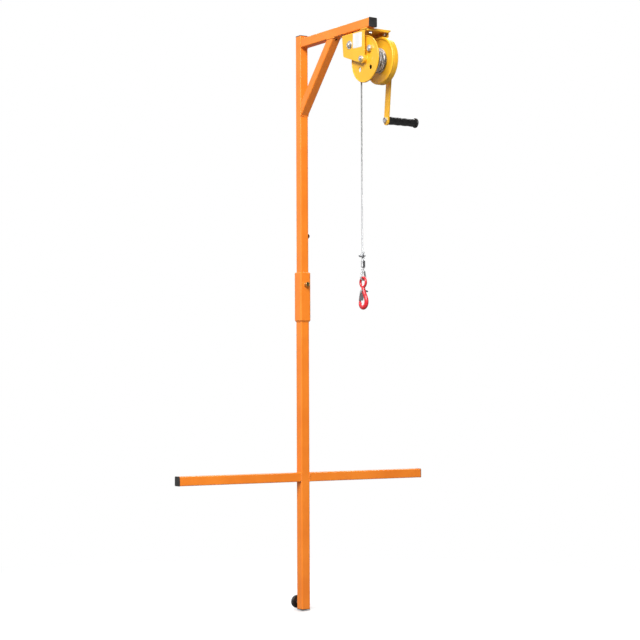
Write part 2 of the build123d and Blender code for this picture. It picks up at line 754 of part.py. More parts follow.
with BuildPart() as pawl_pin:
    pin_length = ratchet_x + ratchet_plate + pawl_play - bracket_right
    shoulder_length = ratchet_x - pawl_play - bracket_right
    rod((inner_right, pawl_y, pawl_z), (1, 0, 0), pawl_pin_radius, bracket_plate + pin_length)
    rod((bracket_right, pawl_y, pawl_z), (1, 0, 0), pawl_pin_shoulder, shoulder_length)
    rod((bracket_right + pin_length, pawl_y, pawl_z), (1, 0, 0), pawl_pin_head, pawl_pin_head_plate)
save(pawl_pin, "pawl_pin")

with BuildPart() as pawl:
    with BuildSketch(across(ratchet_x, pawl_y, pawl_z)):
        with BuildLine() as pawl_edges:
            CenterArc((0, 0), pawl_boss, 0, 360)
            CenterArc((tip_u - pawl_back, tip_v - pawl_up), pawl_tip, 0, 360)
        make_hull(pawl_edges.edges())
        Circle(pawl_pin_radius + run_gap, mode=Mode.SUBTRACT)
    extrude(amount=ratchet_plate)
save(pawl, "pawl")

pawl_coil_x = bracket_right + (shoulder_length - pawl_wire_pitch * pawl_wire_turns) / 2
pawl_coil_radius = pawl_pin_shoulder + pawl_wire / 2 + 0.2
pawl_coil = (pawl_coil_x, pawl_y, pawl_z)
pawl_points = coil_points(pawl_coil, pawl_coil_radius, pawl_wire_pitch, 4 * pawl_wire_turns)
print("pawl_spring least gap", round(coil_gap(pawl_points, pawl_wire), 3))
with BuildPart() as pawl_spring:
    coil(pawl_points, pawl_wire)
save(pawl_spring, "pawl_spring")

# Crank: a flat bar from the shaft to the grip
crank_way = (0, math.sin(math.radians(crank_tilt)), -math.cos(math.radians(crank_tilt)))
with BuildPart() as crank_arm:
    with BuildSketch(Plane(origin=(arm_x, crank_y, crank_z), x_dir=crank_way, z_dir=(1, 0, 0))):
        with Locations(((crank_length + crank_tail) / 2, 0)):
            SlotCenterToCenter(crank_length + crank_tail, crank_width)
        Circle(shaft_fit, mode=Mode.SUBTRACT)
        with Locations((crank_length, 0)):
            Circle(grip_bolt / 2 + thread_gap, mode=Mode.SUBTRACT)
    extrude(amount=crank_plate)
save(crank_arm, "crank_arm")

with BuildPart() as crank_nut:
    nut((arm_out, crank_y, crank_z), (1, 0, 0), 2 * shaft_end)
save(crank_nut, "crank_nut")

# Grip: a waved sleeve that turns on its bolt, with the nut inside its closed end
grip_x = arm_out + side_gap
grip_nut_x = grip_x + grip_length - grip_skin - side_gap - thread_end - nut_height * grip_bolt
with BuildPart() as grip_bolt_body:
    bolt_end = grip_nut_x + nut_height * grip_bolt + 0.5 * thread_end
    rod((arm_x, grip_y, grip_z), (1, 0, 0), grip_bolt / 2, bolt_end - arm_x)
    hexagon((arm_x, grip_y, grip_z), (-1, 0, 0), grip_bolt, head_height * grip_bolt)
save(grip_bolt_body, "grip_bolt")

with BuildPart() as grip_nut:
    nut((grip_nut_x, grip_y, grip_z), (1, 0, 0), grip_bolt)
save(grip_nut, "grip_nut")

with BuildPart() as crank_grip:
    wave_length = (grip_length - grip_end_width) / grip_waves
    waves = [
        (wave_length * k / 2, grip_radius - grip_taper * k / (2 * grip_waves) - grip_wave * (-1) ** k)
        for k in range(2 * grip_waves + 1)
    ]
    grip_plane = Plane(origin=(grip_x, grip_y, grip_z), x_dir=(1, 0, 0), z_dir=(0, -1, 0))
    with BuildSketch(grip_plane):
        with BuildLine():
            Spline(*waves)
            flange_foot = (waves[-1][0], grip_end)
            Polyline(waves[-1], flange_foot, (grip_length, grip_end), (grip_length, 0), (0, 0), waves[0])
        make_face()
    revolve(axis=Axis((grip_x, grip_y, grip_z), (1, 0, 0)))
    fillet(crank_grip.edges().filter_by(GeomType.CIRCLE).sort_by(SortBy.RADIUS)[-2:], grip_end_width / 3)
    nut_room = nut_across * grip_bolt / math.sqrt(3) + side_gap
    room_x = grip_nut_x - side_gap
    rod((grip_x, grip_y, grip_z), (1, 0, 0), grip_bolt / 2 + run_gap, room_x - grip_x, mode=Mode.SUBTRACT)
    room_length = grip_x + grip_length - grip_skin - room_x
    rod((room_x, grip_y, grip_z), (1, 0, 0), nut_room, room_length, mode=Mode.SUBTRACT)
save(crank_grip, "crank_grip")

# Hoist rope: one straight fall from the drum's tangent point
with BuildPart() as hoist_rope:
    rod((rope_exit, rope_y, rope_top), (0, 0, -1), rope_radius, rope_length)
save(hoist_rope, "hoist_rope")

# Rope eye: the fall splits round the thimble and comes back up as a dead strand
bend_out = eye_bend * (1 - math.cos(lean))
leg = (eye_radius * math.cos(lean) - strand / 2 - bend_out) / math.sin(lean)
ferrule_z = rope_base - dead_end - clip_height - clip_gap - ferrule_length
eye_z = ferrule_z - 0.5 - eye_bend * math.sin(lean) - leg * math.cos(lean) - eye_radius * math.sin(lean)
clip_z = ferrule_z + ferrule_length + clip_gap
leg_side = eye_radius * math.cos(lean)
leg_base = eye_z + eye_radius * math.sin(lean)
leg_top_side = leg_side - leg * math.sin(lean)
leg_top = leg_base + leg * math.cos(lean)
bend_side = leg_top_side + eye_bend * (math.cos(lean) - math.cos(lean / 2))
bend_z = leg_top + eye_bend * (math.sin(lean) - math.sin(lean / 2))
strand_z = leg_top + eye_bend * math.sin(lean)


def beside(offset, z):
    """Point in the rope eye's plane, at an offset from its centre line."""
    return (hook_x + offset, rope_y, z)


with BuildPart() as rope_eye:
    with BuildLine() as eye_line:
        Line(beside(-strand / 2, rope_base), beside(-strand / 2, strand_z))
        ThreePointArc(
            beside(-strand / 2, strand_z), beside(-bend_side, bend_z), beside(-leg_top_side, leg_top)
        )
        Line(beside(-leg_top_side, leg_top), beside(-leg_side, leg_base))
        ThreePointArc(
            beside(-leg_side, leg_base), beside(0, eye_z - eye_radius), beside(leg_side, leg_base)
        )
        Line(beside(leg_side, leg_base), beside(leg_top_side, leg_top))
        ThreePointArc(
            beside(leg_top_side, leg_top), beside(bend_side, bend_z), beside(strand / 2, strand_z)
        )
        Line(beside(strand / 2, strand_z), beside(strand / 2, rope_base))
    with BuildSketch(Plane(origin=beside(-strand / 2, rope_base), z_dir=(0, 0, -1))):
        Circle(rope_radius)
    sweep(path=eye_line.wires()[0])
save(rope_eye, "rope_eye")

# Thimble: a half-round channel inside the eye
thimble_inner = rope_radius + thimble_play
with BuildPart() as rope_thimble:
    for side in (1, -1):
        inward = (side * math.cos(lean), 0, -math.sin(lean))
        upward = (side * math.sin(lean), 0, math.cos(lean))
        leg_plane = Plane(origin=beside(-side * leg_side, leg_base), x_dir=inward, z_dir=upward)
        with BuildSketch(leg_plane) as channel:
            Circle(thimble_inner + thimble_plate)
            Circle(thimble_inner, mode=Mode.SUBTRACT)
            with Locations((-rope_size, 0)):
                Rectangle(2 * rope_size, 4 * rope_size, mode=Mode.SUBTRACT)
        extrude(channel.sketch, amount=thimble_leg)
        if side > 0:
            eye_axis = Axis((hook_x, rope_y, eye_z), (0, -1, 0))
            revolve(channel.sketch, axis=eye_axis, revolution_arc=180 + 2 * eye_lean)
save(rope_thimble, "rope_thimble")

with BuildPart() as rope_ferrule:
    with BuildSketch(Plane(origin=(hook_x, rope_y, ferrule_z), z_dir=(0, 0, 1))):
        SlotCenterToCenter(strand, rope_size + 2 * ferrule_wall)
        SlotCenterToCenter(strand, rope_size + 2 * thread_gap, mode=Mode.SUBTRACT)
    extrude(amount=ferrule_length)
save(rope_ferrule, "rope_ferrule")

# Wire rope clip: a saddle on the loaded strand and a bolt bent round the dead one
clip_side = rope_radius + clip_rod / 2 + clip_play
saddle_face = hook_x - strand / 2 - rope_radius - clip_saddle / 2
clip_middle = clip_z + clip_height / 2
clip_end = saddle_face - nut_height * clip_rod - thread_end
with BuildPart() as rope_clip_saddle:
    with BuildSketch(across(saddle_face, rope_y, clip_middle)):
        RectangleRounded(2 * clip_side + 1.8 * clip_rod, clip_height, clip_height / 4)
    extrude(amount=clip_saddle)
    rod((rope_exit, rope_y, clip_z), (0, 0, 1), rope_radius + thread_gap, clip_height, mode=Mode.SUBTRACT)
    for side in (-1, 1):
        leg_start = (saddle_face, rope_y + side * clip_side, clip_middle)
        rod(leg_start, (1, 0, 0), clip_rod / 2 + thread_gap, 2 * clip_saddle, mode=Mode.SUBTRACT)
save(rope_clip_saddle, "rope_clip_saddle")

with BuildPart() as rope_clip_u_bolt:
    dead_x = hook_x + strand / 2
    with BuildLine() as u_line:
        Line((clip_end, rope_y - clip_side, clip_middle), (dead_x, rope_y - clip_side, clip_middle))
        ThreePointArc(
            (dead_x, rope_y - clip_side, clip_middle),
            (dead_x + clip_side, rope_y, clip_middle),
            (dead_x, rope_y + clip_side, clip_middle),
        )
        Line((dead_x, rope_y + clip_side, clip_middle), (clip_end, rope_y + clip_side, clip_middle))
    with BuildSketch(across(clip_end, rope_y - clip_side, clip_middle)):
        Circle(clip_rod / 2)
    sweep(path=u_line.wires()[0])
save(rope_clip_u_bolt, "rope_clip_u_bolt")

with BuildPart() as rope_clip_nuts:
    for side in (-1, 1):
        nut((saddle_face, rope_y + side * clip_side, clip_middle), (-1, 0, 0), clip_rod)
save(rope_clip_nuts, "rope_clip_nuts")

# Hook: a forged eye hook, its eye hung through the thimble at right angles
bundle = thimble_inner + thimble_plate
swing_z = eye_z - eye_radius
hook_eye_z = swing_z + bundle + hook_seat + hook_eye_bar - hook_eye
bowl_z = hook_eye_z - hook_length
bowl_start = math.radians(hook_start)
neck_ends = (
    (0, hook_eye_z - hook_eye),
    (hook_bowl * math.cos(bowl_start), bowl_z + hook_bowl * math.sin(bowl_start)),
)
neck_pull = (neck_ends[0][1] - neck_ends[1][1]) / 3
neck_points = (
    neck_ends[0],
    (0, neck_ends[0][1] - neck_pull),
    (
        neck_ends[1][0] + neck_pull * math.sin(bowl_start),
        neck_ends[1][1] - neck_pull * math.cos(bowl_start),
    ),
    neck_ends[1],
)


def neck(t):
    """Place and direction on the curved neck, from the eye at 0 to the bowl at 1."""
    s = 1 - t
    weights = (s ** 3, 3 * s * s * t, 3 * s * t * t, t ** 3)
    slopes = (-3 * s * s, 3 * s * s - 6 * s * t, 6 * s * t - 3 * t * t, 3 * t * t)
    place = [sum(w * p[i] for w, p in zip(weights, neck_points)) for i in (0, 1)]
    way = [sum(w * p[i] for w, p in zip(slopes, neck_points)) for i in (0, 1)]
    return place, way


def bowl(angle):
    """Place and direction on the round bowl."""
    a = math.radians(angle)
    place = (hook_bowl * math.cos(a), bowl_z + hook_bowl * math.sin(a))
    return place, (-math.sin(a), math.cos(a))


hook_stations = [(neck(t), thick, 0.8) for t, thick in ((0, 0.8), (0.34, 0.84), (0.67, 0.92))]
for part_way, thick, wide in (
    (0.0, 0.97, 0.84),
    (0.16, 1.0, 0.86),
    (0.32, 1.0, 0.86),
    (0.48, 0.96, 0.86),
    (0.64, 0.85, 0.8),
    (0.78, 0.68, 0.68),
    (0.9, 0.46, 0.5),
    (1.0, 0.24, 0.3),
):
    hook_stations.append((bowl(hook_start + (hook_tip - hook_start) * part_way), thick, wide))
pin_place, pin_way = neck(latch_pin_station)
pin_y = rope_y + pin_place[0]
pin_z = pin_place[1]
latch_in = 0.84 * hook_body_thick + latch_gap
latch_out = latch_in + latch_plate
with BuildPart() as hook_body:
    for (place, way), thick, wide in hook_stations:
        middle = (hook_x, rope_y + place[0], place[1])
        station = Plane(origin=middle, x_dir=(1, 0, 0), z_dir=(0, way[0], way[1]))
        with BuildSketch(station):
            Ellipse(wide * hook_body_thick, thick * hook_body_thick)
    loft()
    bar_middle = (hook_x, rope_y + hook_eye, hook_eye_z)
    with BuildSketch(Plane(origin=bar_middle, x_dir=(0, 1, 0), z_dir=(0, 0, 1))) as bar:
        Circle(hook_eye_bar)
    revolve(bar.sketch, axis=Axis((hook_x, rope_y, hook_eye_z), (1, 0, 0)))
    pin_hole = latch_pin_size / 2 + run_gap
    rod((hook_x - latch_out, pin_y, pin_z), (1, 0, 0), pin_hole, 2 * latch_out, mode=Mode.SUBTRACT)
save(hook_body, "hook_body")

# Latch: a folded tongue on a cross pin, closing just inside the hook's tip
tip_angle = math.radians(hook_tip)
free_reach = hook_bowl - 0.24 * hook_body_thick - latch_tip_gap - latch_plate
free_end = (free_reach * math.cos(tip_angle - 0.15), bowl_z + free_reach * math.sin(tip_angle - 0.15))
fold = (pin_place[0] + latch_front, pin_place[1])
tongue_way = (free_end[0] - fold[0], free_end[1] - fold[1])
tongue_run = math.hypot(*tongue_way)
tongue_side = (-tongue_way[1] / tongue_run, tongue_way[0] / tongue_run)


def on_tongue(share, depth):
    """Point on the tongue's edge view, by share of its length and depth in its thickness."""
    return (
        fold[0] + share * tongue_way[0] + depth * tongue_side[0] - pin_place[0],
        fold[1] + share * tongue_way[1] + depth * tongue_side[1] - pin_place[1],
    )


with BuildPart() as hook_latch:
    with BuildSketch(across(hook_x - latch_out, pin_y, pin_z)):
        Polygon(
            on_tongue(0, 0),
            on_tongue(0, latch_plate),
            on_tongue(1, latch_plate),
            on_tongue(1, 0),
            align=None,
        )
    extrude(amount=2 * latch_out)
    for side in (-1, 1):
        taper_plane = Plane(
            origin=(hook_x, rope_y + fold[0], fold[1]),
            x_dir=(1, 0, 0),
            z_dir=(0, tongue_side[0], tongue_side[1]),
        )
        with BuildSketch(taper_plane):
            Polygon(
                (side * latch_tip_width / 2, -1.1 * tongue_run),
                (side * 2 * latch_out, -1.1 * tongue_run),
                (side * 2 * latch_out, -0.35 * tongue_run),
                (side * latch_out, -0.35 * tongue_run),
                align=None,
            )
        extrude(amount=2 * latch_plate, both=True, mode=Mode.SUBTRACT)
    for start in (hook_x - latch_out, hook_x + latch_in):
        with BuildSketch(across(start, pin_y, pin_z)) as ear:
            with BuildLine() as ear_edges:
                CenterArc((0, 0), latch_ear, 0, 360)
                Line(on_tongue(0, latch_plate), on_tongue(0.35, latch_plate))
            make_hull(ear_edges.edges())
        extrude(amount=latch_plate)
    rod((hook_x - latch_out, pin_y, pin_z), (1, 0, 0), pin_hole, 2 * latch_out, mode=Mode.SUBTRACT)
save(hook_latch, "hook_latch")

latch_coil = latch_wire_pitch * latch_wire_turns + 2 * latch_wire
with BuildPart() as latch_pin:
    pin_start = hook_x - latch_out
    pin_length = 2 * latch_out + side_gap + latch_coil
    rod((pin_start, pin_y, pin_z), (1, 0, 0), latch_pin_size / 2, pin_length)
    rod((pin_start - side_gap, pin_y, pin_z), (-1, 0, 0), 0.9 * latch_pin_size, 0.4 * latch_pin_size)
    rod((hook_x - latch_out, pin_y, pin_z), (-1, 0, 0), latch_pin_size / 2, side_gap)
    pin_far = hook_x + latch_out + side_gap + latch_coil
    rod((pin_far, pin_y, pin_z), (1, 0, 0), 0.9 * latch_pin_size, 0.4 * latch_pin_size)
save(latch_pin, "latch_pin")

latch_coil_start = (hook_x + latch_out + side_gap + latch_wire, pin_y, pin_z)
latch_coil_radius = latch_pin_size / 2 + latch_wire / 2 + 0.15
latch_points = coil_points(latch_coil_start, latch_coil_radius, latch_wire_pitch, 4 * latch_wire_turns)
print("latch_spring least gap", round(coil_gap(latch_points, latch_wire), 3))
with BuildPart() as latch_spring:
    coil(latch_points, latch_wire)
save(latch_spring, "latch_spring")
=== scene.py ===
import json
import math

import bpy
from mathutils import Matrix, Vector


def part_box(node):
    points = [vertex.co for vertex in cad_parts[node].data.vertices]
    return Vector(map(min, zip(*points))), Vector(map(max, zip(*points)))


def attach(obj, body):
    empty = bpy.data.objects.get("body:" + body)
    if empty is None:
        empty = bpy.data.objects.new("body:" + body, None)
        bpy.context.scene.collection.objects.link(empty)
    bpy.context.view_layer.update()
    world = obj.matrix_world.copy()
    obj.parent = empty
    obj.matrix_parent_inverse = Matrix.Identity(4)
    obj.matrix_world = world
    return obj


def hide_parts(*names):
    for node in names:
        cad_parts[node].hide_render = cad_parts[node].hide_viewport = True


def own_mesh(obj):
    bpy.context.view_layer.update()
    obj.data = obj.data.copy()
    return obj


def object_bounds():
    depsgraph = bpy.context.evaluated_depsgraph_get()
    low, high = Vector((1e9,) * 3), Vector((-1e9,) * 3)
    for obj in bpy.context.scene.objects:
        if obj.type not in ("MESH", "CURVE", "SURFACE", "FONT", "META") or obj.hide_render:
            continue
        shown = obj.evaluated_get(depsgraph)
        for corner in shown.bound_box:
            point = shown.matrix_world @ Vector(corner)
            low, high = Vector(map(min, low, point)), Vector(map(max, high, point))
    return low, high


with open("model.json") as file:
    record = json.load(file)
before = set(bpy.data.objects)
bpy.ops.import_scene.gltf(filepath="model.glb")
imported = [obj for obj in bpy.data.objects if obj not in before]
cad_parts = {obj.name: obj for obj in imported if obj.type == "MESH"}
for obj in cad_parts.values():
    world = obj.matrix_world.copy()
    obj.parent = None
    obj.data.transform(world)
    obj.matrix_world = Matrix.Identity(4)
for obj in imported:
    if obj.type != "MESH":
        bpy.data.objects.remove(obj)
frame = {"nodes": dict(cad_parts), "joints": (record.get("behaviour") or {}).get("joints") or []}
cad_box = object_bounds()
nodes = frame["nodes"]
joints = {joint["name"]: joint for joint in frame["joints"]}


# The stage: a pale floor in a white room, a large soft light high on the left, a smaller one in front,
# a wide one behind on the right, and the camera at the place that the photograph was taken from.
class Wire:
    """A shader socket that takes arithmetic. node() adds any other node and gives one of its outputs."""

    def __init__(self, tree, socket=None):
        self.tree = tree
        self.socket = socket

    def node(self, kind, inputs=(), out=0, **settings):
        made = self.tree.nodes.new("ShaderNode" + kind)
        for name, value in settings.items():
            setattr(made, name, value)
        for name, value in dict(inputs).items():
            if isinstance(value, Wire):
                self.tree.links.new(value.socket, made.inputs[name])
            else:
                made.inputs[name].default_value = value
        return Wire(self.tree, made.outputs[out] if len(made.outputs) else None)

    def sum_of(self, operation, first, second):
        return self.node("Math", {0: first, 1: second}, operation=operation)

    def __add__(self, other):
        return self.sum_of("ADD", self, other)

    def __sub__(self, other):
        return self.sum_of("SUBTRACT", self, other)

    def __rsub__(self, other):
        return self.sum_of("SUBTRACT", other, self)

    def __mul__(self, other):
        return self.sum_of("MULTIPLY", self, other)

    __radd__ = __add__
    __rmul__ = __mul__

    def between(self, low, high):
        """Smooth rise from 0 at the low value to 1 at the high one."""
        limits = {"Value": self, "From Min": low, "From Max": high}
        return self.node("MapRange", limits, interpolation_type="SMOOTHSTEP")

    def tint(self, first, second):
        """Colour that goes from the first to the second as this socket goes from 0 to 1."""
        return self.node("Mix", {0: self, 6: first, 7: second}, out=2, data_type="RGBA")


def new_finish(name):
    """Empty material, and the wire that adds its nodes."""
    made = bpy.data.materials.new(name)
    made.use_nodes = True
    made.node_tree.nodes.clear()
    return made, Wire(made.node_tree)


def shown(piece):
    """Puts an object into the scene."""
    bpy.context.scene.collection.objects.link(piece)


floor_drop = 0.004
floor_reach = 40.0
shadow_near, shadow_far = 0.5, 1.9
shadow_fade = 0.2
floor_z = cad_box[0].z - floor_drop
corners = [(u * floor_reach, v * floor_reach, floor_z) for u, v in ((-1, -1), (1, -1), (1, 1), (-1, 1))]
floor_mesh = bpy.data.meshes.new("studio_floor")
floor_mesh.from_pydata(corners, [], [(0, 1, 2, 3)])
floor = bpy.data.objects.new("studio_floor", floor_mesh)
shown(floor)
floor_paint, net = new_finish("studio_floor")
from_foot = net.node("VectorMath", {0: net.node("TexCoord", out="Object")}, out="Value", operation="LENGTH")
card = net.node("BsdfDiffuse", {"Color": (0.82, 0.82, 0.82, 1)})
glow = net.node("Emission", {"Color": (1, 1, 1, 1), "Strength": 1.0})
fade = shadow_fade + from_foot.between(shadow_near, shadow_far) * (1 - shadow_fade)
white = net.node("MixShader", {0: fade, 1: card, 2: glow})
grey = net.node("BsdfDiffuse", {"Color": (0.2, 0.2, 0.2, 1)})
seen = net.node("LightPath", out="Is Camera Ray")
net.node("OutputMaterial", {"Surface": net.node("MixShader", {0: seen, 1: grey, 2: white})})
floor_mesh.materials.append(floor_paint)

room = bpy.data.worlds.new("studio_room")
bpy.context.scene.world = room
room.use_nodes = True
room.node_tree.nodes.clear()
net = Wire(room.node_tree)
way = net.node("TexCoord", out="Generated")
window = (-0.75, 0.3, 0.6)
leftward = net.node("VectorMath", {0: way, 1: window}, out="Value", operation="DOT_PRODUCT")
walls = leftward.between(-0.7, 0.8).tint((0.5, 0.5, 0.51, 1), (1, 1, 1, 1))
soft = net.node("Background", {"Color": walls, "Strength": 0.48})
gleam = leftward.between(-0.15, 0.75).tint((0.03, 0.03, 0.032, 1), (0.75, 0.75, 0.75, 1))
mirror = net.node("Background", {"Color": gleam, "Strength": 1.0})
plain = net.node("Background", {"Color": (1, 1, 1, 1), "Strength": 1.0})
bounced = net.node("MixShader", {0: net.node("LightPath", out="Is Glossy Ray"), 1: soft, 2: mirror})
seen = net.node("LightPath", out="Is Camera Ray")
net.node("OutputWorld", {"Surface": net.node("MixShader", {0: seen, 1: bounced, 2: plain})})

for name, place, aim, size, power in (
    ("key", (-3.55, -2.9, 4.1), (0, -0.1, 1.0), 2.8, 345),
    ("fill", (-2.6, -4.6, 3.0), (0, -0.2, 1.0), 1.8, 125),
    ("back", (2.8, 2.4, 4.1), (0, -0.1, 0.9), 3.4, 240),
):
    lamp = bpy.data.lights.new(name, "AREA")
    lamp.energy = power
    lamp.size = size
    stand = bpy.data.objects.new(name, lamp)
    stand.location = place
    stand.rotation_euler = (Vector(aim) - Vector(place)).to_track_quat("-Z", "Y").to_euler()
    shown(stand)

camera_place = Matrix.Translation((-3.1330, -4.9197, 0.3034))
camera_right = Vector((0.8382, -0.5454, -0.0038))
camera_up = Vector((-0.0186, -0.0356, 0.9992))
camera_turn = Matrix((camera_right, camera_up, camera_right.cross(camera_up))).transposed().to_4x4()
camera_data = bpy.data.cameras.new("photo_camera")
camera_data.lens = 98.45
camera_data.sensor_width = 36
camera_data.clip_end = 100
camera = bpy.data.objects.new("photo_camera", camera_data)
camera.matrix_world = camera_place @ camera_turn
shown(camera)
bpy.context.scene.camera = camera
bpy.context.scene.view_settings.view_transform = "Standard"


# Masts, sleeve, crossbar, jib and brace: drawn square steel tube, sprayed with orange powder coat
# after welding, so the coat has a fine orange peel and is glossier over the corners, which are painted
# lighter: a painted highlight.
def coat(finish, *names):
    """CAD nodes take a finish."""
    for name in names:
        nodes[name].data.materials.clear()
        nodes[name].data.materials.append(finish)


def edge_of(net, radius):
    """Normal rounded over sharp edges by a radius, and a mask of those edges."""
    rounded = net.node("Bevel", {"Radius": radius}, samples=6)
    facing = net.node("NewGeometry", out="Normal")
    lost = 1 - net.node("VectorMath", {0: rounded, 1: facing}, out="Value", operation="DOT_PRODUCT")
    return rounded, lost.between(0.01, 0.16)


def powder_coat(name, deep, bright, edge_highlight, peel):
    """Sprayed paint: slow drift in tone, orange peel, corners painted lighter as a painted highlight, rubs
    and specks of dust.
    """
    made, net = new_finish(name)
    place = net.node("TexCoord", out="Object")
    drift = net.node("TexNoise", {"Vector": place, "Scale": 7.0, "Detail": 4.0, "Roughness": 0.55}, out="Fac")
    cloud = net.node("TexNoise", {"Vector": place, "Scale": 60.0, "Detail": 5.0, "Roughness": 0.6}, out="Fac")
    skin = net.node("TexNoise", {"Vector": place, "Scale": peel, "Detail": 2.0, "Roughness": 0.4}, out="Fac")
    dust = net.node("TexVoronoi", {"Vector": place, "Scale": 260.0, "Randomness": 1.0}, out="Distance")
    lengthwise = net.node("VectorMath", {0: place, 1: (900.0, 900.0, 26.0)}, operation="MULTIPLY")
    rub = net.node("TexNoise", {"Vector": lengthwise, "Scale": 1.0, "Detail": 1.0}, out="Fac")
    rub = rub.between(0.67, 0.78)
    rounded, edge = edge_of(net, 0.0011)
    tone = drift.between(0.3, 0.7).tint(deep, bright)
    # The corners are painted a lighter tone: a painted highlight.
    tone = (edge * 0.7).tint(tone, edge_highlight)
    tone = (dust.between(0.11, 0.04) * cloud.between(0.52, 0.62) * 0.35).tint(tone, (0.75, 0.6, 0.42, 1))
    relief = {"Height": skin + rub * 0.08, "Strength": 0.16, "Distance": 0.00035, "Normal": rounded}
    surface = net.node(
        "BsdfPrincipled",
        {
            "Base Color": tone,
            "Roughness": 0.29 + cloud * 0.12 + rub * 0.1 - edge * 0.06,
            "Normal": net.node("Bump", relief),
            "Specular IOR Level": 0.42,
            "Coat Weight": 0.12 + drift * 0.12,
            "Coat Roughness": 0.14,
        },
    )
    net.node("OutputMaterial", {"Surface": surface})
    return made


orange = powder_coat(
    "orange_paint",
    deep=(0.86, 0.212, 0.016, 1),
    bright=(0.95, 0.26, 0.022, 1),
    edge_highlight=(1.0, 0.44, 0.07, 1),
    peel=620.0,
)
coat(orange, "lower_mast", "mast_sleeve", "crossbar_left_arm", "crossbar_right_arm")
coat(orange, "upper_mast", "jib_arm", "jib_brace")


# Weld beads: a run of overlapped ripples round each joint, laid before painting. They join the arms,
# the sleeve and the pad's nut to the lower mast, the clamp nut to the sleeve, the jib to the upper mast,
# and the brace to both of these.
class Shape:
    """Points and faces of one piece, gathered as rings of points that are skinned together."""

    def __init__(self):
        self.points, self.faces, self.paints = [], [], []

    def skin(self, rings, loop=False, paint=0):
        first, size, rows = len(self.points), len(rings[0]), len(rings)
        self.points += [point for ring in rings for point in ring]
        for row in range(rows if loop else rows - 1):
            low, high = first + row * size, first + (row + 1) % rows * size
            for k in range(size):
                after = (k + 1) % size
                self.faces.append((low + k, low + after, high + after, high + k))
        if not loop:
            last = first + (rows - 1) * size
            self.faces += [tuple(range(first + size - 1, first - 1, -1)), tuple(range(last, last + size))]
        self.paints += [paint] * (len(self.faces) - len(self.paints))

    def made(self, name, body, finishes, slot=None, stands_for=(), crease=34):
        mesh = bpy.data.meshes.new(name)
        mesh.from_pydata(self.points, [], self.faces)
        for finish in finishes:
            mesh.materials.append(finish)
        mesh.polygons.foreach_set("material_index", self.paints)
        mesh.shade_smooth()
        mesh.set_sharp_from_angle(angle=math.radians(crease))
        piece = bpy.data.objects.new(name, mesh)
        shown(piece)
        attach(piece, body)
        if stands_for:
            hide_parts(*stands_for)
        return piece


X = Vector((1, 0, 0))
Y = Vector((0, 1, 0))
Z = Vector((0, 0, 1))


def middle(node):
    """Centre of a CAD node's box."""
    low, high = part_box(node)
    return (low + high) / 2


def half(node):
    """Half the size of a CAD node's box."""
    low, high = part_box(node)
    return (high - low) / 2


def face(node, axis):
    """Middle of the side of a CAD node's box that an axis points out of."""
    return middle(node) + axis * abs(half(node).dot(axis))


def weld(shape, centre, along, across, reach, size, square=9):
    """Bead round a joint: a rectangle in the plane of two directions, or a ring where square is 2."""
    normal = along.cross(across)
    around = []
    steps = 720
    for k in range(steps):
        a = 2 * math.pi * k / steps
        c, s = math.cos(a), math.sin(a)
        spread = (abs(c) ** square + abs(s) ** square) ** (-1 / square)
        steep = math.copysign(abs(c) ** (square - 1), c), math.copysign(abs(s) ** (square - 1), s)
        out = (along * steep[0] / reach[0] + across * steep[1] / reach[1]).normalized()
        around.append((centre + along * (reach[0] * spread * c) + across * (reach[1] * spread * s), out))
    ripple, ring_gap, sides = 0.0021, 0.0005, 10
    valley, crest = 0.84, 0.24
    unsteady = ((0.05, 430), (0.04, 1170))
    rings, run, since = [], 0.0, ring_gap
    for (place, out), (next_place, _) in zip(around, around[1:] + around[:1]):
        length = (next_place - place).length
        run, since = run + length, since + length
        if since > ring_gap:
            since = 0.0
            swell = valley + crest * (1 - run / ripple % 1) ** 2
            swell += sum(amount * math.sin(rate * run) for amount, rate in unsteady)
            turns = [2 * math.pi * k / sides for k in range(sides)]
            rings.append([place + (out * math.cos(a) - normal * math.sin(a)) * size * swell for a in turns])
    shape.skin(rings, loop=True)


bead = 0.002
sleeve_bead = 0.85 * bead
nut_bead = 0.0011
nut_ring = 1.11
proud = 0.0003
frame_welds = Shape()
for arm, inward in (("crossbar_left_arm", X), ("crossbar_right_arm", -X)):
    weld(frame_welds, face(arm, inward) - inward * proud, Y, Z, half(arm).yz, bead)
mast_edge = half("lower_mast").xy + Vector((2 * proud, 2 * proud))
weld(frame_welds, face("mast_sleeve", -Z) - Z * proud, X, Y, mast_edge, sleeve_bead)
weld(frame_welds, face("clamp_nut", Y), X, Z, [nut_ring * half("clamp_nut").x] * 2, nut_bead, square=2)
weld(frame_welds, face("pad_nut", -Y), X, Z, [nut_ring * half("pad_nut").x] * 2, nut_bead, square=2)
frame_welds.made("frame_welds", "frame", [orange], "orange_paint")

brace_low, brace_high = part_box("jib_brace")
brace_width = brace_high.x - brace_low.x
brace_lean = math.atan2(brace_high.y - brace_low.y, brace_high.z - brace_low.z)
foot_cut = brace_width / math.sin(brace_lean)
head_cut = brace_width / math.cos(brace_lean)
brace_foot = Vector((0, brace_high.y - proud, brace_low.z + foot_cut / 2))
brace_head = Vector((0, brace_low.y + head_cut / 2, brace_high.z - proud))
upper_welds = Shape()
weld(upper_welds, face("jib_arm", Y) - Y * proud, X, Z, half("jib_arm").xz, bead)
weld(upper_welds, brace_foot, X, Z, (brace_width / 2, foot_cut / 2 + proud), bead, square=12)
weld(upper_welds, brace_head, X, Y, (brace_width / 2, head_cut / 2 + proud), bead, square=12)
upper_welds.made("upper_welds", "upper_section", [orange], "orange_paint")
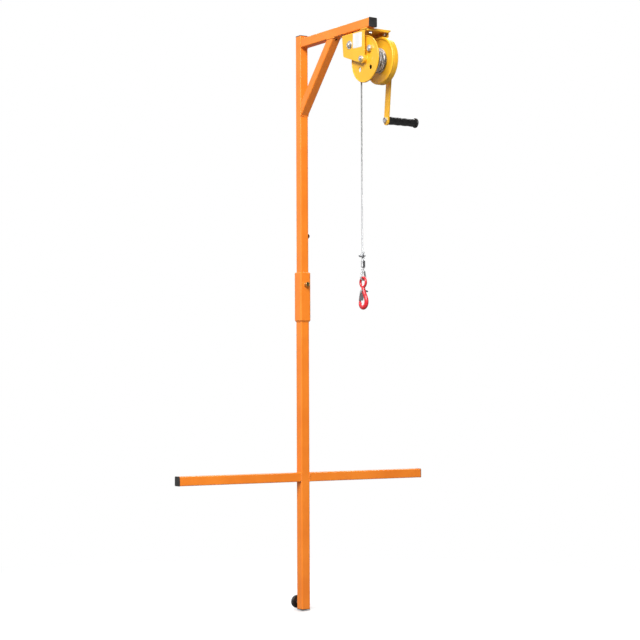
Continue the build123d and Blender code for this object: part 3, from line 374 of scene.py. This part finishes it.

# End caps, mast plugs and the side bolt's knob: black polyethylene mouldings, the caps and plugs
# pushed into the tubes by hand, with a fine spark-eroded grain and edges painted paler, partly as rubbed wear
# and partly as a painted highlight.
black, net = new_finish("black_plastic")
place = net.node("TexCoord", out="Object")
grain = net.node("TexNoise", {"Vector": place, "Scale": 1500.0, "Detail": 3.0}, out="Fac")
cloud = net.node("TexNoise", {"Vector": place, "Scale": 70.0, "Detail": 4.0}, out="Fac")
rounded, edge = edge_of(net, 0.0012)
tone = cloud.between(0.35, 0.7).tint((0.021, 0.02, 0.019, 1), (0.034, 0.033, 0.031, 1))
surface = net.node(
    "BsdfPrincipled",
    {
        # Edges are painted paler: partly rubbed wear, partly a painted highlight.
        "Base Color": (edge * 0.5).tint(tone, (0.075, 0.073, 0.07, 1)),
        "Roughness": 0.4 + grain * 0.2,
        "Normal": net.node("Bump", {"Height": grain, "Strength": 0.3, "Distance": 0.0002, "Normal": rounded}),
    },
)
net.node("OutputMaterial", {"Surface": surface})
coat(black, "left_arm_cap", "right_arm_cap", "mast_foot_plug", "mast_top_plug", "jib_end_cap", "side_bolt")


# Clamp bolt and its welded nut: cold-headed steel with a yellow zinc plating that drifts from brass
# to green. The bolt presses on the upper mast through the sleeve.
def turned(start, axis, spin=0.0):
    """Frame whose z lies along an axis from a starting point."""
    facing = axis.to_track_quat("Z", "Y").to_matrix().to_4x4()
    return Matrix.Translation(start) @ facing @ Matrix.Rotation(math.radians(spin), 4, "Z")


def hoop(place, radius, height, sides=48):
    """Ring of points round a frame's axis; the radius and height may follow the angle."""
    ring = []
    for k in range(sides):
        a = 2 * math.pi * k / sides
        r = radius(a) if callable(radius) else radius
        h = height(a) if callable(height) else height
        ring.append(place @ Vector((r * math.cos(a), r * math.sin(a), h)))
    return ring


hex_width = 1.65
head_height = 0.65
thread_play = 0.00006
crown_share, corner_slope = 0.95, 0.58
mouth_ease = 0.0007
dish_rim, dish_floor, dish_depth = 0.78, 0.7, 0.0004


def hexagon(shape, start, axis, thread, height, spin, bored):
    """Nut with its corners turned off at both ends, or a bolt's dished head where it isn't bored."""
    place = turned(start, axis, spin)
    flat = hex_width * thread / 2
    crown = crown_share * flat

    def corner(a):
        return flat / math.cos((a + math.pi / 6) % (math.pi / 3) - math.pi / 6)

    def fall(a):
        return corner_slope * (corner(a) - crown)

    top = [hoop(place, corner, lambda a: height - fall(a)), hoop(place, crown, height)]
    if bored:
        bore = thread / 2 + thread_play
        wide = bore + mouth_ease
        foot = [hoop(place, wide, 0), hoop(place, crown, 0), hoop(place, corner, fall)]
        hole = [hoop(place, bore, height - mouth_ease), hoop(place, bore, mouth_ease)]
        shape.skin(foot + top + [hoop(place, wide, height)] + hole, loop=True)
    else:
        dish = [hoop(place, dish_rim * flat, height), hoop(place, dish_floor * flat, height - dish_depth)]
        shape.skin([hoop(place, corner, 0)] + top + dish)


def nut(shape, node, axis, thread, spin):
    """Nut as thick as its CAD node along an axis."""
    hexagon(shape, face(node, -axis), axis, thread, 2 * abs(half(node).dot(axis)), spin, bored=True)


pitch_base, thread_depth, tip_depth = 0.00025, 0.55, 0.9
shank_sides, thread_rows = 32, 6


def shank(shape, start, axis, thread, length, plain=0.0, paint=0):
    """Bolt's shank: plain at first, then a rolled thread whose tip is turned down to the root."""
    place = turned(start, axis)
    pitch = thread / 8 + pitch_base
    radius, depth = thread / 2, thread_depth * pitch
    rings = [hoop(place, radius, h, shank_sides) for h in (0, plain)] if plain else []
    rows = max(2, round((length - plain) / pitch * thread_rows))
    for row in range(rows + 1):
        h = plain + (length - plain) * row / rows
        tip = radius - tip_depth * depth + length - h

        def groove(a):
            return min(tip, radius - depth * abs(2 * ((h / pitch - a / (2 * math.pi)) % 1) - 1))

        rings.append(hoop(place, groove, h, shank_sides))
    shape.skin(rings, paint=paint)


def bolt(shape, node, axis, thread, spin, threaded=math.inf):
    """Bolt as long as its CAD node, its head at the end that an axis points to, with a length of thread."""
    head = head_height * thread
    under = face(node, axis) - axis * head
    length = (under - face(node, -axis)).length
    hexagon(shape, under, axis, thread, head, spin, bored=False)
    shank(shape, under, -axis, thread, length, max(0, length - threaded))


def plated(name, dull, bright, blush, sheen):
    """Electroplated steel: cloudy bright metal, tint drifting, fine scratches, dull spots, painted highlight
    on edges.
    """
    made, net = new_finish(name)
    place = net.node("TexCoord", out="Object")
    cloud = net.node("TexNoise", {"Vector": place, "Scale": 240.0, "Detail": 4.0}, out="Fac")
    drift = net.node("TexNoise", {"Vector": place, "Scale": 95.0, "Detail": 2.0}, out="Fac")
    grit = net.node("TexNoise", {"Vector": place, "Scale": 2400.0, "Detail": 2.0}, out="Fac")
    rounded, edge = edge_of(net, 0.0005)
    tone = cloud.between(0.32, 0.68).tint(dull, bright)
    tone = (drift.between(0.48, 0.7) * 0.6).tint(tone, blush)
    relief = {"Height": grit, "Strength": 0.08, "Distance": 0.0002, "Normal": rounded}
    surface = net.node(
        "BsdfPrincipled",
        {
            # Edges are painted brighter: a painted highlight.
            "Base Color": (edge * 0.4).tint(tone, bright),
            "Metallic": 1.0,
            "Roughness": sheen + cloud * 0.2 + grit * 0.08,
            "Normal": net.node("Bump", relief),
        },
    )
    net.node("OutputMaterial", {"Surface": surface})
    return made


yellow_zinc = plated(
    "yellow_zinc",
    dull=(0.5, 0.36, 0.12, 1),
    bright=(0.86, 0.66, 0.27, 1),
    blush=(0.62, 0.6, 0.34, 1),
    sheen=0.2,
)
clamp_thread = 0.008
clamp_nut = Shape()
nut(clamp_nut, "clamp_nut", -Y, clamp_thread, spin=12)
clamp_nut.made("clamp_nut_piece", "frame", [yellow_zinc], "yellow_zinc", ["clamp_nut"])
clamp_bolt = Shape()
bolt(clamp_bolt, "clamp_bolt", -Y, clamp_thread, spin=38)
clamp_bolt.made("clamp_bolt_piece", "frame", [yellow_zinc], "yellow_zinc", ["clamp_bolt"])

# Wall pad: a moulded rubber disc with grooves on the wall side, screwed in and out on a zinc-plated
# stud through the nut welded on the mast, and held by a lock nut.
zinc = plated(
    "zinc",
    dull=(0.5, 0.51, 0.53, 1),
    bright=(0.86, 0.87, 0.88, 1),
    blush=(0.66, 0.69, 0.74, 1),
    sheen=0.16,
)
pad_thread = 0.010
pad_nut = Shape()
nut(pad_nut, "pad_nut", Y, pad_thread, spin=4)
pad_nut.made("pad_nut_piece", "frame", [zinc], "zinc", ["pad_nut"])
pad_lock_nut = Shape()
nut(pad_lock_nut, "pad_lock_nut", Y, pad_thread, spin=21)
pad_lock_nut.made("pad_lock_nut_piece", "pad", [zinc], "zinc", ["pad_lock_nut"])
pad_stud = Shape()
shank(pad_stud, face("pad_stud", Y), -Y, pad_thread, 2 * half("pad_stud").y)
pad_stud.made("pad_stud_piece", "pad", [zinc], "zinc", ["pad_stud"])

rubber, net = new_finish("pad_rubber")
place = net.node("TexCoord", out="Object")
grain = net.node("TexNoise", {"Vector": place, "Scale": 900.0, "Detail": 4.0}, out="Fac")
chalk = net.node("TexNoise", {"Vector": place, "Scale": 110.0, "Detail": 5.0}, out="Fac").between(0.5, 0.72)
surface = net.node(
    "BsdfPrincipled",
    {
        "Base Color": (chalk * 0.6).tint((0.009, 0.009, 0.009, 1), (0.028, 0.027, 0.026, 1)),
        "Roughness": 0.24 + grain * 0.2,
        "Normal": net.node("Bump", {"Height": grain, "Strength": 0.2, "Distance": 0.0003}),
    },
)
net.node("OutputMaterial", {"Surface": surface})


def arc(centre, radius, start, end, steps=6):
    """Points of an outline on an arc, from one angle to another in degrees."""
    angles = [math.radians(start + (end - start) * k / steps) for k in range(steps + 1)]
    return [(centre[0] + radius * math.cos(a), centre[1] + radius * math.sin(a)) for a in angles]


pad_radius = half("wall_pad").z
pad_depth = 2 * half("wall_pad").y
stud_bore = pad_thread / 2 + thread_play
boss_radius, boss_height, boss_round = 0.01075, 0.004, 0.0006
rim_round = 0.003
groove_count, groove_start, groove_gap = 4, 0.0166, 0.0038
groove_mouth, groove_foot, groove_depth = 0.0012, 0.0007, 0.0011
pinhole = 0.00005
pad_sides = 72
pad_outline = [(pinhole, pad_depth / 2), (stud_bore, pad_depth / 2), (stud_bore, 0)]
pad_outline += arc((boss_radius - boss_round, boss_round), boss_round, -90, 0, steps=2)
pad_outline += arc((boss_radius + boss_round, boss_height - boss_round), boss_round, 180, 90, steps=2)
pad_outline += arc((pad_radius - rim_round, boss_height + rim_round), rim_round, -90, 0)
pad_outline += arc((pad_radius - rim_round, pad_depth - rim_round), rim_round, 0, 90)
for k in range(groove_count):
    groove = groove_start - k * groove_gap
    pad_outline += [(groove + groove_mouth, pad_depth), (groove + groove_foot, pad_depth - groove_depth)]
    pad_outline += [(groove - groove_foot, pad_depth - groove_depth), (groove - groove_mouth, pad_depth)]
pad_outline.append((pinhole, pad_depth))
wall_pad = Shape()
pad_back = turned(face("wall_pad", -Y), Y)
wall_pad.skin([hoop(pad_back, r, h, pad_sides) for r, h in pad_outline])
wall_pad.made("wall_pad_piece", "pad", [rubber], "pad_rubber", ["wall_pad"])


# Winch mount: two yellow flat bars with welded studs, welded across the jib's underside, and the
# plated nuts that hold the bracket on the studs.
def plate(shape, place, reach, corner, height, ease):
    """Flat plate with rounded corners and eased edges, from a frame along its z."""
    rings, corner_points = [], 6
    for inset, h in ((ease, 0), (0, ease), (0, height - ease), (ease, height)):
        ring = []
        for quarter in range(4):
            turn = math.pi / 2 * (quarter + 0.5)
            for k in range(corner_points):
                a = math.pi / 2 * (quarter + k / (corner_points - 1))
                u = math.copysign(reach[0] - corner, math.cos(turn)) + (corner - inset) * math.cos(a)
                v = math.copysign(reach[1] - corner, math.sin(turn)) + (corner - inset) * math.sin(a)
                ring.append(place @ Vector((u, v, h)))
        rings.append(ring)
    shape.skin(rings)


yellow = powder_coat(
    "yellow_paint",
    deep=(0.8, 0.395, 0.016, 1),
    bright=(0.89, 0.47, 0.026, 1),
    edge_highlight=(1.0, 0.72, 0.16, 1),
    peel=700.0,
)
stud_thread = 0.008
stud_root, stud_plain = 0.0005, 0.0045
bar_thick, bar_corner, bar_ease = 0.004, 0.0012, 0.0006
rear_bar_inset = 0.010
bar_bead, bead_sink = 0.0016, 0.0009
bars_low, bars_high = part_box("winch_mount_bars")
nuts_low, nuts_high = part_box("winch_mount_nuts")
bar_z = bars_high.z - bar_thick
nut_flat = hex_width * stud_thread / 2
nut_corner = nut_flat / math.cos(math.pi / 6)
stud_rows = (nuts_low.y + nut_flat, nuts_high.y - nut_flat)
stud_columns = (nuts_low.x + nut_corner, nuts_high.x - nut_corner)
bar_reach = stud_rows[0] - bars_low.y
jib_reach = half("jib_arm").x
spins = iter((8, 41, 23, 55))
mount_bars, mount_nuts, bar_welds = Shape(), Shape(), Shape()
for y, left in zip(stud_rows, (bars_low.x, bars_low.x + rear_bar_inset)):
    bar_foot = Matrix.Translation(((left + bars_high.x) / 2, y, bar_z))
    plate(mount_bars, bar_foot, ((bars_high.x - left) / 2, bar_reach), bar_corner, bar_thick, bar_ease)
    under_jib = max(left, -jib_reach)
    seam = Vector(((under_jib + jib_reach) / 2, y, bars_high.z - bead_sink))
    seam_reach = ((jib_reach - under_jib) / 2 - proud, bar_reach)
    weld(bar_welds, seam, X, Y, seam_reach, bar_bead, square=14)
    for x in stud_columns:
        stud_top = Vector((x, y, bar_z + stud_root))
        shank(mount_bars, stud_top, -Z, stud_thread, stud_top.z - bars_low.z, stud_plain, 1)
        nut_top = Vector((x, y, nuts_high.z))
        nut_thick = nuts_high.z - nuts_low.z
        hexagon(mount_nuts, nut_top, -Z, stud_thread, nut_thick, next(spins), bored=True)
bar_finishes = [yellow, zinc]
mount_bars.made("winch_mount_bars_piece", "upper_section", bar_finishes, "yellow_paint", ["winch_mount_bars"])
mount_nuts.made("winch_mount_nuts_piece", "upper_section", [zinc], "zinc", ["winch_mount_nuts"])
bar_welds.made("bar_welds", "upper_section", [orange], "orange_paint")

# Winch bracket: one steel plate cut, drilled and folded down at both sides, yellow powder coat. Its
# left cheek carries a bare white vinyl label.
coat(yellow, "winch_bracket", "tie_spacer")
vinyl, net = new_finish("white_vinyl")
place = net.node("TexCoord", out="Object")
fleck = net.node("TexNoise", {"Vector": place, "Scale": 900.0, "Detail": 3.0}, out="Fac")
age = net.node("TexNoise", {"Vector": place, "Scale": 40.0, "Detail": 4.0}, out="Fac")
surface = net.node(
    "BsdfPrincipled",
    {
        "Base Color": age.between(0.35, 0.7).tint((0.68, 0.68, 0.672, 1), (0.75, 0.75, 0.745, 1)),
        "Roughness": 0.34 + fleck * 0.12,
        "Normal": net.node("Bump", {"Height": fleck, "Strength": 0.06, "Distance": 0.0002}),
    },
)
net.node("OutputMaterial", {"Surface": surface})
label_reach = (0.0255, 0.0237)
label_corner, label_thick, label_ease = 0.003, 0.0003, 0.0001
label_back, label_drop, label_tilt = 0.049, 0.029, -2
bracket_low, bracket_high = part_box("winch_bracket")
label_place = Vector((bracket_low.x, bracket_low.y + label_back, bracket_high.z - label_drop))
label = Shape()
plate(label, turned(label_place, -X, label_tilt), label_reach, label_corner, label_thick, label_ease)
label.made("blank_label", "upper_section", [vinyl])

# Axle and tie: long zinc-plated bolts through both cheeks, each through a spacer tube, with a washer
# and a nut outside the left cheek.
coat(zinc, "drum_spacer", "bracket_washers")
axle_thread, axle_threaded = 0.010, 0.008
nuts_low, nuts_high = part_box("bracket_nuts")
bracket_nuts = Shape()
for name, bolt_spin, nut_spin in (("drum_bolt", 17, 9), ("tie_bolt", 46, 33)):
    through = Shape()
    bolt(through, name, X, axle_thread, bolt_spin, axle_threaded)
    through.made(name + "_piece", "upper_section", [zinc], "zinc", [name])
    nut_seat = Vector((nuts_high.x, *middle(name).yz))
    hexagon(bracket_nuts, nut_seat, -X, axle_thread, nuts_high.x - nuts_low.x, nut_spin, bored=True)
bracket_nuts.made("bracket_nuts_piece", "upper_section", [zinc], "zinc", ["bracket_nuts"])

# Drum: a barrel between a pressed flange with a rolled lip and a deep geared flange, all in yellow.
# A button-headed bolt and a nut through the pressed flange clamp the rope's end.
coat(yellow, "drum_barrel", "drum_left_flange", "drum_gear_flange")
rope_clamp_thread = 0.012
button_ease, button_side, button_root = 0.0004, 0.0016, 0.0005
dome_angle, button_plain = 60, 0.004
flange_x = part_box("drum_left_flange")[1].x
button_foot = Vector((flange_x, *middle("rope_clamp_bolt").yz))
button_radius = half("rope_clamp_bolt").y
button_dome = face("rope_clamp_bolt", X).x - flange_x - button_side
button_outline = [(button_radius - button_ease, 0), (button_radius, button_ease)]
dome_top = math.sin(math.radians(dome_angle))
for r, h in arc((0, 0), 1, 0, dome_angle):
    button_outline.append((button_radius * r, button_side + button_dome * h / dome_top))
rope_bolt = Shape()
rope_bolt.skin([hoop(turned(button_foot, X), r, h) for r, h in button_outline])
shank_top = button_foot + X * button_root
shank_length = shank_top.x - face("rope_clamp_bolt", -X).x
shank(rope_bolt, shank_top, -X, rope_clamp_thread, shank_length, button_plain)
rope_bolt.made("rope_clamp_bolt_piece", "drum", [zinc], "zinc", ["rope_clamp_bolt"])
rope_nut = Shape()
nut(rope_nut, "rope_clamp_nut", -X, rope_clamp_thread, spin=26)
rope_nut.made("rope_clamp_nut_piece", "drum", [zinc], "zinc", ["rope_clamp_nut"])


# Wire rope: six strands of drawn galvanised wire laid together, greased, and wound on the drum in two
# layers. The turns of the outer one lie a little unevenly, and it leaves the drum at the back. The under
# layer, the hollows between its turns and the grooves between wires are painted darker: painted shade.
def guided(name, points, fineness):
    """Curve object of one smooth line that a row of points guides."""
    curve = bpy.data.curves.new(name, "CURVE")
    curve.dimensions = "3D"
    curve.resolution_u = fineness
    spline = curve.splines.new("NURBS")
    spline.points.add(len(points) - 1)
    for guide, place in zip(spline.points, points):
        guide.co = (*place, 1)
    spline.order_u = 3
    spline.use_endpoint_u = True
    return bpy.data.objects.new(name, curve)


def smooth_line(points):
    """Points close together on the smooth line that a rope's route guides."""
    ruler = guided("route", points, fineness=16)
    read = bpy.data.meshes.new_from_object(ruler)
    line = [vertex.co.copy() for vertex in read.vertices]
    bpy.data.objects.remove(ruler)
    bpy.data.meshes.remove(read)
    return line


def laid_rope(name, body, line, lay, step, finish, stands_for):
    """Rope along a line: a tube ridged by its strands, which twist once in each length of lay."""
    lengths = [0.0]
    for start, end in zip(line, line[1:]):
        lengths.append(lengths[-1] + (end - start).length)
    total = lengths[-1]
    count = max(2, round(total / step))
    centres, at = [], 0
    for k in range(count + 1):
        run = total * k / count
        while at < len(line) - 2 and lengths[at + 1] < run:
            at += 1
        share = (run - lengths[at]) / max(lengths[at + 1] - lengths[at], 1e-9)
        centres.append(line[at].lerp(line[at + 1], share))
    sides = strand_sides * strands
    strand_radius = rope_size / 6
    ridge = []
    for k in range(sides):
        bow = math.radians(((k / strand_sides) % 1 - 0.5) * 360 / strands)
        ridge.append(strand_radius * (2 * math.cos(bow) + math.sqrt(max(0, 1 - 4 * math.sin(bow) ** 2))))
    shape, rings, side = Shape(), [], X
    for k, centre in enumerate(centres):
        heading = (centres[min(k + 1, count)] - centres[max(k - 1, 0)]).normalized()
        if k == 0 and abs(heading.x) > 0.9:
            side = Y
        side = (side - heading * side.dot(heading)).normalized()
        other = heading.cross(side)
        angles = [2 * math.pi * (i / sides + total * k / count / lay) for i in range(sides)]
        rings.append([centre + (side * math.cos(a) + other * math.sin(a)) * r for a, r in zip(angles, ridge)])
    shape.skin(rings)
    piece = shape.made(name, body, [finish], "rope_steel", stands_for, crease=60)
    wires = piece.data.uv_layers.new(name="wires")
    for quad in piece.data.polygons[:-2]:
        row, k = divmod(quad.index, sides)
        for corner, (dk, drow) in zip(quad.loop_indices, ((0, 0), (1, 0), (1, 1), (0, 1))):
            run = total * (row + drow) / count
            wires.data[corner].uv = ((k + dk) / sides + run / lay, run)
    return piece, centres


def wound(start, radius, pitch, turns, wobble=0.0):
    """Guide points of a winding along X, twelve to a turn, from the back of its axis upward."""
    points = []
    guides = 12
    sway = ((1.0, 0.37, 0.0), (0.6, 0.151, 1.3))
    step = 2 * math.pi / guides
    spread = radius / math.cos(step / 2)
    for k in range(round(guides * turns)):
        a = step * (k + 0.5)
        drift = sum(share * math.sin(rate * k + start_angle) for share, rate, start_angle in sway)
        along = pitch * (k + 0.5) / guides
        along += wobble * drift * min(1, k / guides, turns - k / guides)
        points.append(Vector(start) + Vector((along, spread * math.cos(a), spread * math.sin(a))))
    return points


rope_size = 0.005
strands, strand_sides, strand_wires = 6, 6, 8
drum_axis = Vector(joints["drum_spin"]["pos_m"])
fall_route = [(0.009, -0.3405, 1.347), (0.009, -0.3405, 0.773), (0.009, -0.3405, 0.743)]
fall_x, fall_y, fall_top = fall_route[0]
fall_length = fall_top - fall_route[-1][2]
fall_ridges = 113
rope_lay = fall_length * strands / fall_ridges

rope_steel, net = new_finish("rope_steel")
wires = net.node("UVMap", uv_map="wires")
round_it = net.node("SeparateXYZ", {0: wires}, out="X")
wire_bow = net.node("Math", {0: round_it * (2 * math.pi * strand_wires * strands)}, operation="SINE")
place = net.node("TexCoord", out="Object")
cloud = net.node("TexNoise", {"Vector": place, "Scale": 160.0, "Detail": 4.0}, out="Fac")
grime = net.node("TexNoise", {"Vector": place, "Scale": 34.0, "Detail": 3.0}, out="Fac")
over_radius = fall_y - drum_axis.y
off_axle = net.node("VectorMath", {0: place, 1: drum_axis}, operation="SUBTRACT")
off_axle = net.node("VectorMath", {0: off_axle, 1: (0.0, 1.0, 1.0)}, operation="MULTIPLY")
off_axle = net.node("VectorMath", {0: off_axle}, out="Value", operation="LENGTH")
gap_shade_edge, gap_shade_full = over_radius + 0.0016, over_radius - 0.0001
dark_start, dark_full, dark_thins, dark_ends = over_radius + 0.0045, 0.07, 0.1, 0.6
drum_edge, drum_clear = 0.045, 0.055
# The under layer and the hollows below the outer turns' crowns are painted nearly black: painted shade.
gap_shade = off_axle.between(gap_shade_edge, gap_shade_full)
# The rope is darker just off the drum and paler further down the fall.
near_drum_dark = off_axle.between(dark_start, dark_full) * (0.7 - off_axle.between(dark_thins, dark_ends) * 0.6)
tone = cloud.between(0.3, 0.7).tint((0.66, 0.67, 0.68, 1), (0.92, 0.93, 0.94, 1))
# The grooves between the wires are painted darker: painted shade.
tone = (wire_bow.between(-0.4, -1.0) * 0.35).tint(tone, (0.1, 0.1, 0.1, 1))
tone = (gap_shade * 0.92).tint(tone, (0.03, 0.028, 0.025, 1))
tone = near_drum_dark.tint(tone, (0.09, 0.09, 0.08, 1))
along_turns = net.node("VectorMath", {0: place, 1: (150.0, 22.0, 22.0)}, operation="MULTIPLY")
smear = net.node("TexNoise", {"Vector": along_turns, "Scale": 1.0, "Detail": 1.0}, out="Fac")
smear = smear.between(0.46, 0.58) * (1 - off_axle.between(drum_edge, drum_clear))
tone = (smear * 0.85).tint(tone, (0.035, 0.034, 0.032, 1))
surface = net.node(
    "BsdfPrincipled",
    {
        "Base Color": (grime.between(0.58, 0.78) * 0.25).tint(tone, (0.24, 0.22, 0.2, 1)),
        "Metallic": 0.55,
        "Roughness": 0.24 + cloud * 0.16,
        "Normal": net.node("Bump", {"Height": wire_bow, "Strength": 0.4, "Distance": 0.00008}),
    },
)
net.node("OutputMaterial", {"Surface": surface})

under_ring, over_ring, fall_ring = 0.0022, 0.0014, 0.0014
under_turns, under_pitch, under_end = 9.75, 0.0053, 0.0544
layer_rise = 0.0052
under_start = (under_end, drum_axis.y, drum_axis.z)
under_line = smooth_line(wound(under_start, over_radius - layer_rise, -under_pitch, under_turns))
laid_rope("rope_under_layer", "drum", under_line, rope_lay, under_ring, rope_steel, ["rope_core"])
over_turns, over_pitch, over_wobble = 8, 0.0056, 0.0003
over_tail = [(0.0538, -0.3405, 1.3576), (0.0539, -0.3486, 1.3644)]
over_start = (fall_x, drum_axis.y, drum_axis.z)
over_route = fall_route[:1] + wound(over_start, over_radius, over_pitch, over_turns, over_wobble) + over_tail
over, over_line = laid_rope(
    "rope_over_layer", "drum", smooth_line(over_route), rope_lay, over_ring, rope_steel, ["wound_rope"]
)
fall, fall_line = laid_rope(
    "rope_fall", "upper_section", smooth_line(fall_route), rope_lay, fall_ring, rope_steel, ["hoist_rope"]
)
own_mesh(fall)

# Rope eye: the fall turned round a pressed thimble, its dead end held by an aluminium ferrule and a
# plated wire rope clip with two small nuts.
eye_radius = 0.0093
eye_lean = 13.65
eye_points = 7
eye_ring = 0.0011
strand_side = 0.0027
leg_guides = [fall_route[-1][2], 0.703, 0.6895]
eye_middle = middle("rope_eye").x
eye_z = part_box("rope_eye")[0].z + rope_size / 2 + eye_radius
eye_step = math.radians(180 + 2 * eye_lean) / eye_points
eye_spread = eye_radius / math.cos(eye_step / 2)
eye_route = [(-strand_side, z) for z in leg_guides]
for k in range(eye_points):
    a = math.radians(180 - eye_lean) + eye_step * (k + 0.5)
    eye_route.append((eye_spread * math.cos(a), eye_z + eye_spread * math.sin(a)))
eye_route += [(strand_side, z) for z in reversed(leg_guides)]
eye, eye_line = laid_rope(
    "rope_eye_piece",
    "hook_end",
    smooth_line([(eye_middle + x, fall_y, z) for x, z in eye_route]),
    rope_lay,
    eye_ring,
    rope_steel,
    ["rope_eye"],
)
coat(zinc, "rope_thimble", "rope_clip_saddle", "rope_clip_u_bolt")
clip_thread = 0.004
nuts_low, nuts_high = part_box("rope_clip_nuts")
nut_flat = hex_width * clip_thread / 2
clip_nuts = Shape()
for y, spin in ((nuts_low.y + nut_flat, 14), (nuts_high.y - nut_flat, 47)):
    nut_seat = Vector((nuts_high.x, y, middle("rope_clip_nuts").z))
    hexagon(clip_nuts, nut_seat, -X, clip_thread, nuts_high.x - nuts_low.x, spin, bored=True)
clip_pair = clip_nuts.made("rope_clip_nuts_piece", "hook_end", [zinc], "zinc", ["rope_clip_nuts"])
aluminium = plated(
    "ferrule_aluminium",
    dull=(0.5, 0.5, 0.51, 1),
    bright=(0.74, 0.74, 0.75, 1),
    blush=(0.62, 0.62, 0.63, 1),
    sheen=0.3,
)
coat(aluminium, "rope_ferrule")

# Crank shaft, brake and ratchet: turned and hobbed steel, two moulded friction linings, and a pawl on
# a shouldered pin with a wire spring. The pinion runs inside the geared flange, the bush sits in the
# right cheek, and the rest is outside it, behind the crank.
coat(zinc, "pinion_shaft", "shaft_bush", "ratchet_wheel", "crank_hub", "pawl_pin", "pawl")
lining, net = new_finish("friction_lining")
place = net.node("TexCoord", out="Object")
fibre = net.node("TexNoise", {"Vector": place, "Scale": 1300.0, "Detail": 3.0, "Distortion": 1.5}, out="Fac")
chip = net.node("TexVoronoi", {"Vector": place, "Scale": 700.0}, out="Distance")
tone = fibre.between(0.35, 0.65).tint((0.05, 0.035, 0.025, 1), (0.15, 0.11, 0.08, 1))
surface = net.node(
    "BsdfPrincipled",
    {
        "Base Color": (chip.between(0.25, 0.1) * 0.6).tint(tone, (0.45, 0.33, 0.18, 1)),
        "Roughness": 0.7 + fibre * 0.2,
        "Normal": net.node("Bump", {"Height": fibre, "Strength": 0.4, "Distance": 0.0003}),
    },
)
net.node("OutputMaterial", {"Surface": surface})
coat(lining, "friction_discs")
spring_steel = plated(
    "dark_steel",
    dull=(0.08, 0.08, 0.085, 1),
    bright=(0.22, 0.22, 0.23, 1),
    blush=(0.12, 0.1, 0.09, 1),
    sheen=0.3,
)


def spring(name, body, node, wire, turns):
    """Coiled wire spring with short straight tails, as wide and long as its CAD node."""
    low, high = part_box(node)
    radius = (high.y - low.y - wire) / 2
    inset = 0.55 * wire
    pitch = (high.x - low.x - 2 * inset) / turns
    start = Vector((low.x + inset, *middle(node).yz))
    points = [start + Vector((0, radius, -wire))]
    points += wound(start, radius, pitch, turns)
    points.append(start + Vector((pitch * turns, radius, wire)))
    piece = guided(name, points, fineness=6)
    piece.data.bevel_depth = wire / 2
    piece.data.bevel_resolution = 4
    piece.data.use_fill_caps = True
    piece.data.materials.append(spring_steel)
    shown(piece)
    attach(piece, body)
    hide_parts(node)


spring("pawl_spring_piece", "upper_section", "pawl_spring", wire=0.001, turns=2)

# Crank: a flat bar in yellow, bolted on the shaft, with a black soft plastic grip that turns on a
# plated bolt at its lower end.
coat(yellow, "crank_arm")
coat(zinc, "grip_nut")
crank_thread = 0.012
crank_nut = Shape()
nut(crank_nut, "crank_nut", X, crank_thread, spin=12)
crank_nut.made("crank_nut_piece", "crank", [zinc], "zinc", ["crank_nut"])
grip_thread, grip_threaded = 0.010, 0.010
grip_bolt = Shape()
bolt(grip_bolt, "grip_bolt", -X, grip_thread, spin=20, threaded=grip_threaded)
grip_bolt.made("grip_bolt_piece", "crank", [zinc], "zinc", ["grip_bolt"])
soft_grip, net = new_finish("grip_rubber")
place = net.node("TexCoord", out="Object")
lengthwise = net.node("VectorMath", {0: place, 1: (60.0, 700.0, 700.0)}, operation="MULTIPLY")
streak = net.node("TexNoise", {"Vector": lengthwise, "Scale": 1.0, "Detail": 3.0}, out="Fac")
grain = net.node("TexNoise", {"Vector": place, "Scale": 1100.0, "Detail": 2.0}, out="Fac")
relief = streak * 0.5 + grain * 0.3
surface = net.node(
    "BsdfPrincipled",
    {
        "Base Color": streak.between(0.4, 0.7).tint((0.006, 0.0058, 0.0055, 1), (0.014, 0.0137, 0.013, 1)),
        "Roughness": 0.34 + streak * 0.14 + grain * 0.08,
        "Specular IOR Level": 0.7,
        "Normal": net.node("Bump", {"Height": relief, "Strength": 0.25, "Distance": 0.0003}),
    },
)
net.node("OutputMaterial", {"Surface": surface})
coat(soft_grip, "crank_grip")

# Hook: a drop-forged eye hook dipped in red enamel, with a pressed zinc-plated latch on a riveted pin
# and a small coil spring that keeps it shut.
red, net = new_finish("red_paint")
place = net.node("TexCoord", out="Object")
forged = net.node("TexNoise", {"Vector": place, "Scale": 150.0, "Detail": 4.0, "Roughness": 0.55}, out="Fac")
drift = net.node("TexNoise", {"Vector": place, "Scale": 45.0, "Detail": 3.0}, out="Fac")
rounded, edge = edge_of(net, 0.0008)
tone = drift.between(0.35, 0.7).tint((0.56, 0.012, 0.02, 1), (0.7, 0.018, 0.028, 1))
relief = {"Height": forged, "Strength": 0.3, "Distance": 0.0006, "Normal": rounded}
surface = net.node(
    "BsdfPrincipled",
    {
        # Edges are painted a lighter red: a painted highlight.
        "Base Color": (edge * 0.3).tint(tone, (0.8, 0.1, 0.09, 1)),
        "Roughness": 0.24 + forged * 0.16,
        "Normal": net.node("Bump", relief),
        "Coat Weight": 0.3,
        "Coat Roughness": 0.1,
    },
)
net.node("OutputMaterial", {"Surface": surface})
coat(red, "hook_body")
coat(zinc, "hook_latch", "latch_pin")
spring("latch_spring_piece", "hook", "latch_spring", wire=0.0008, turns=2)
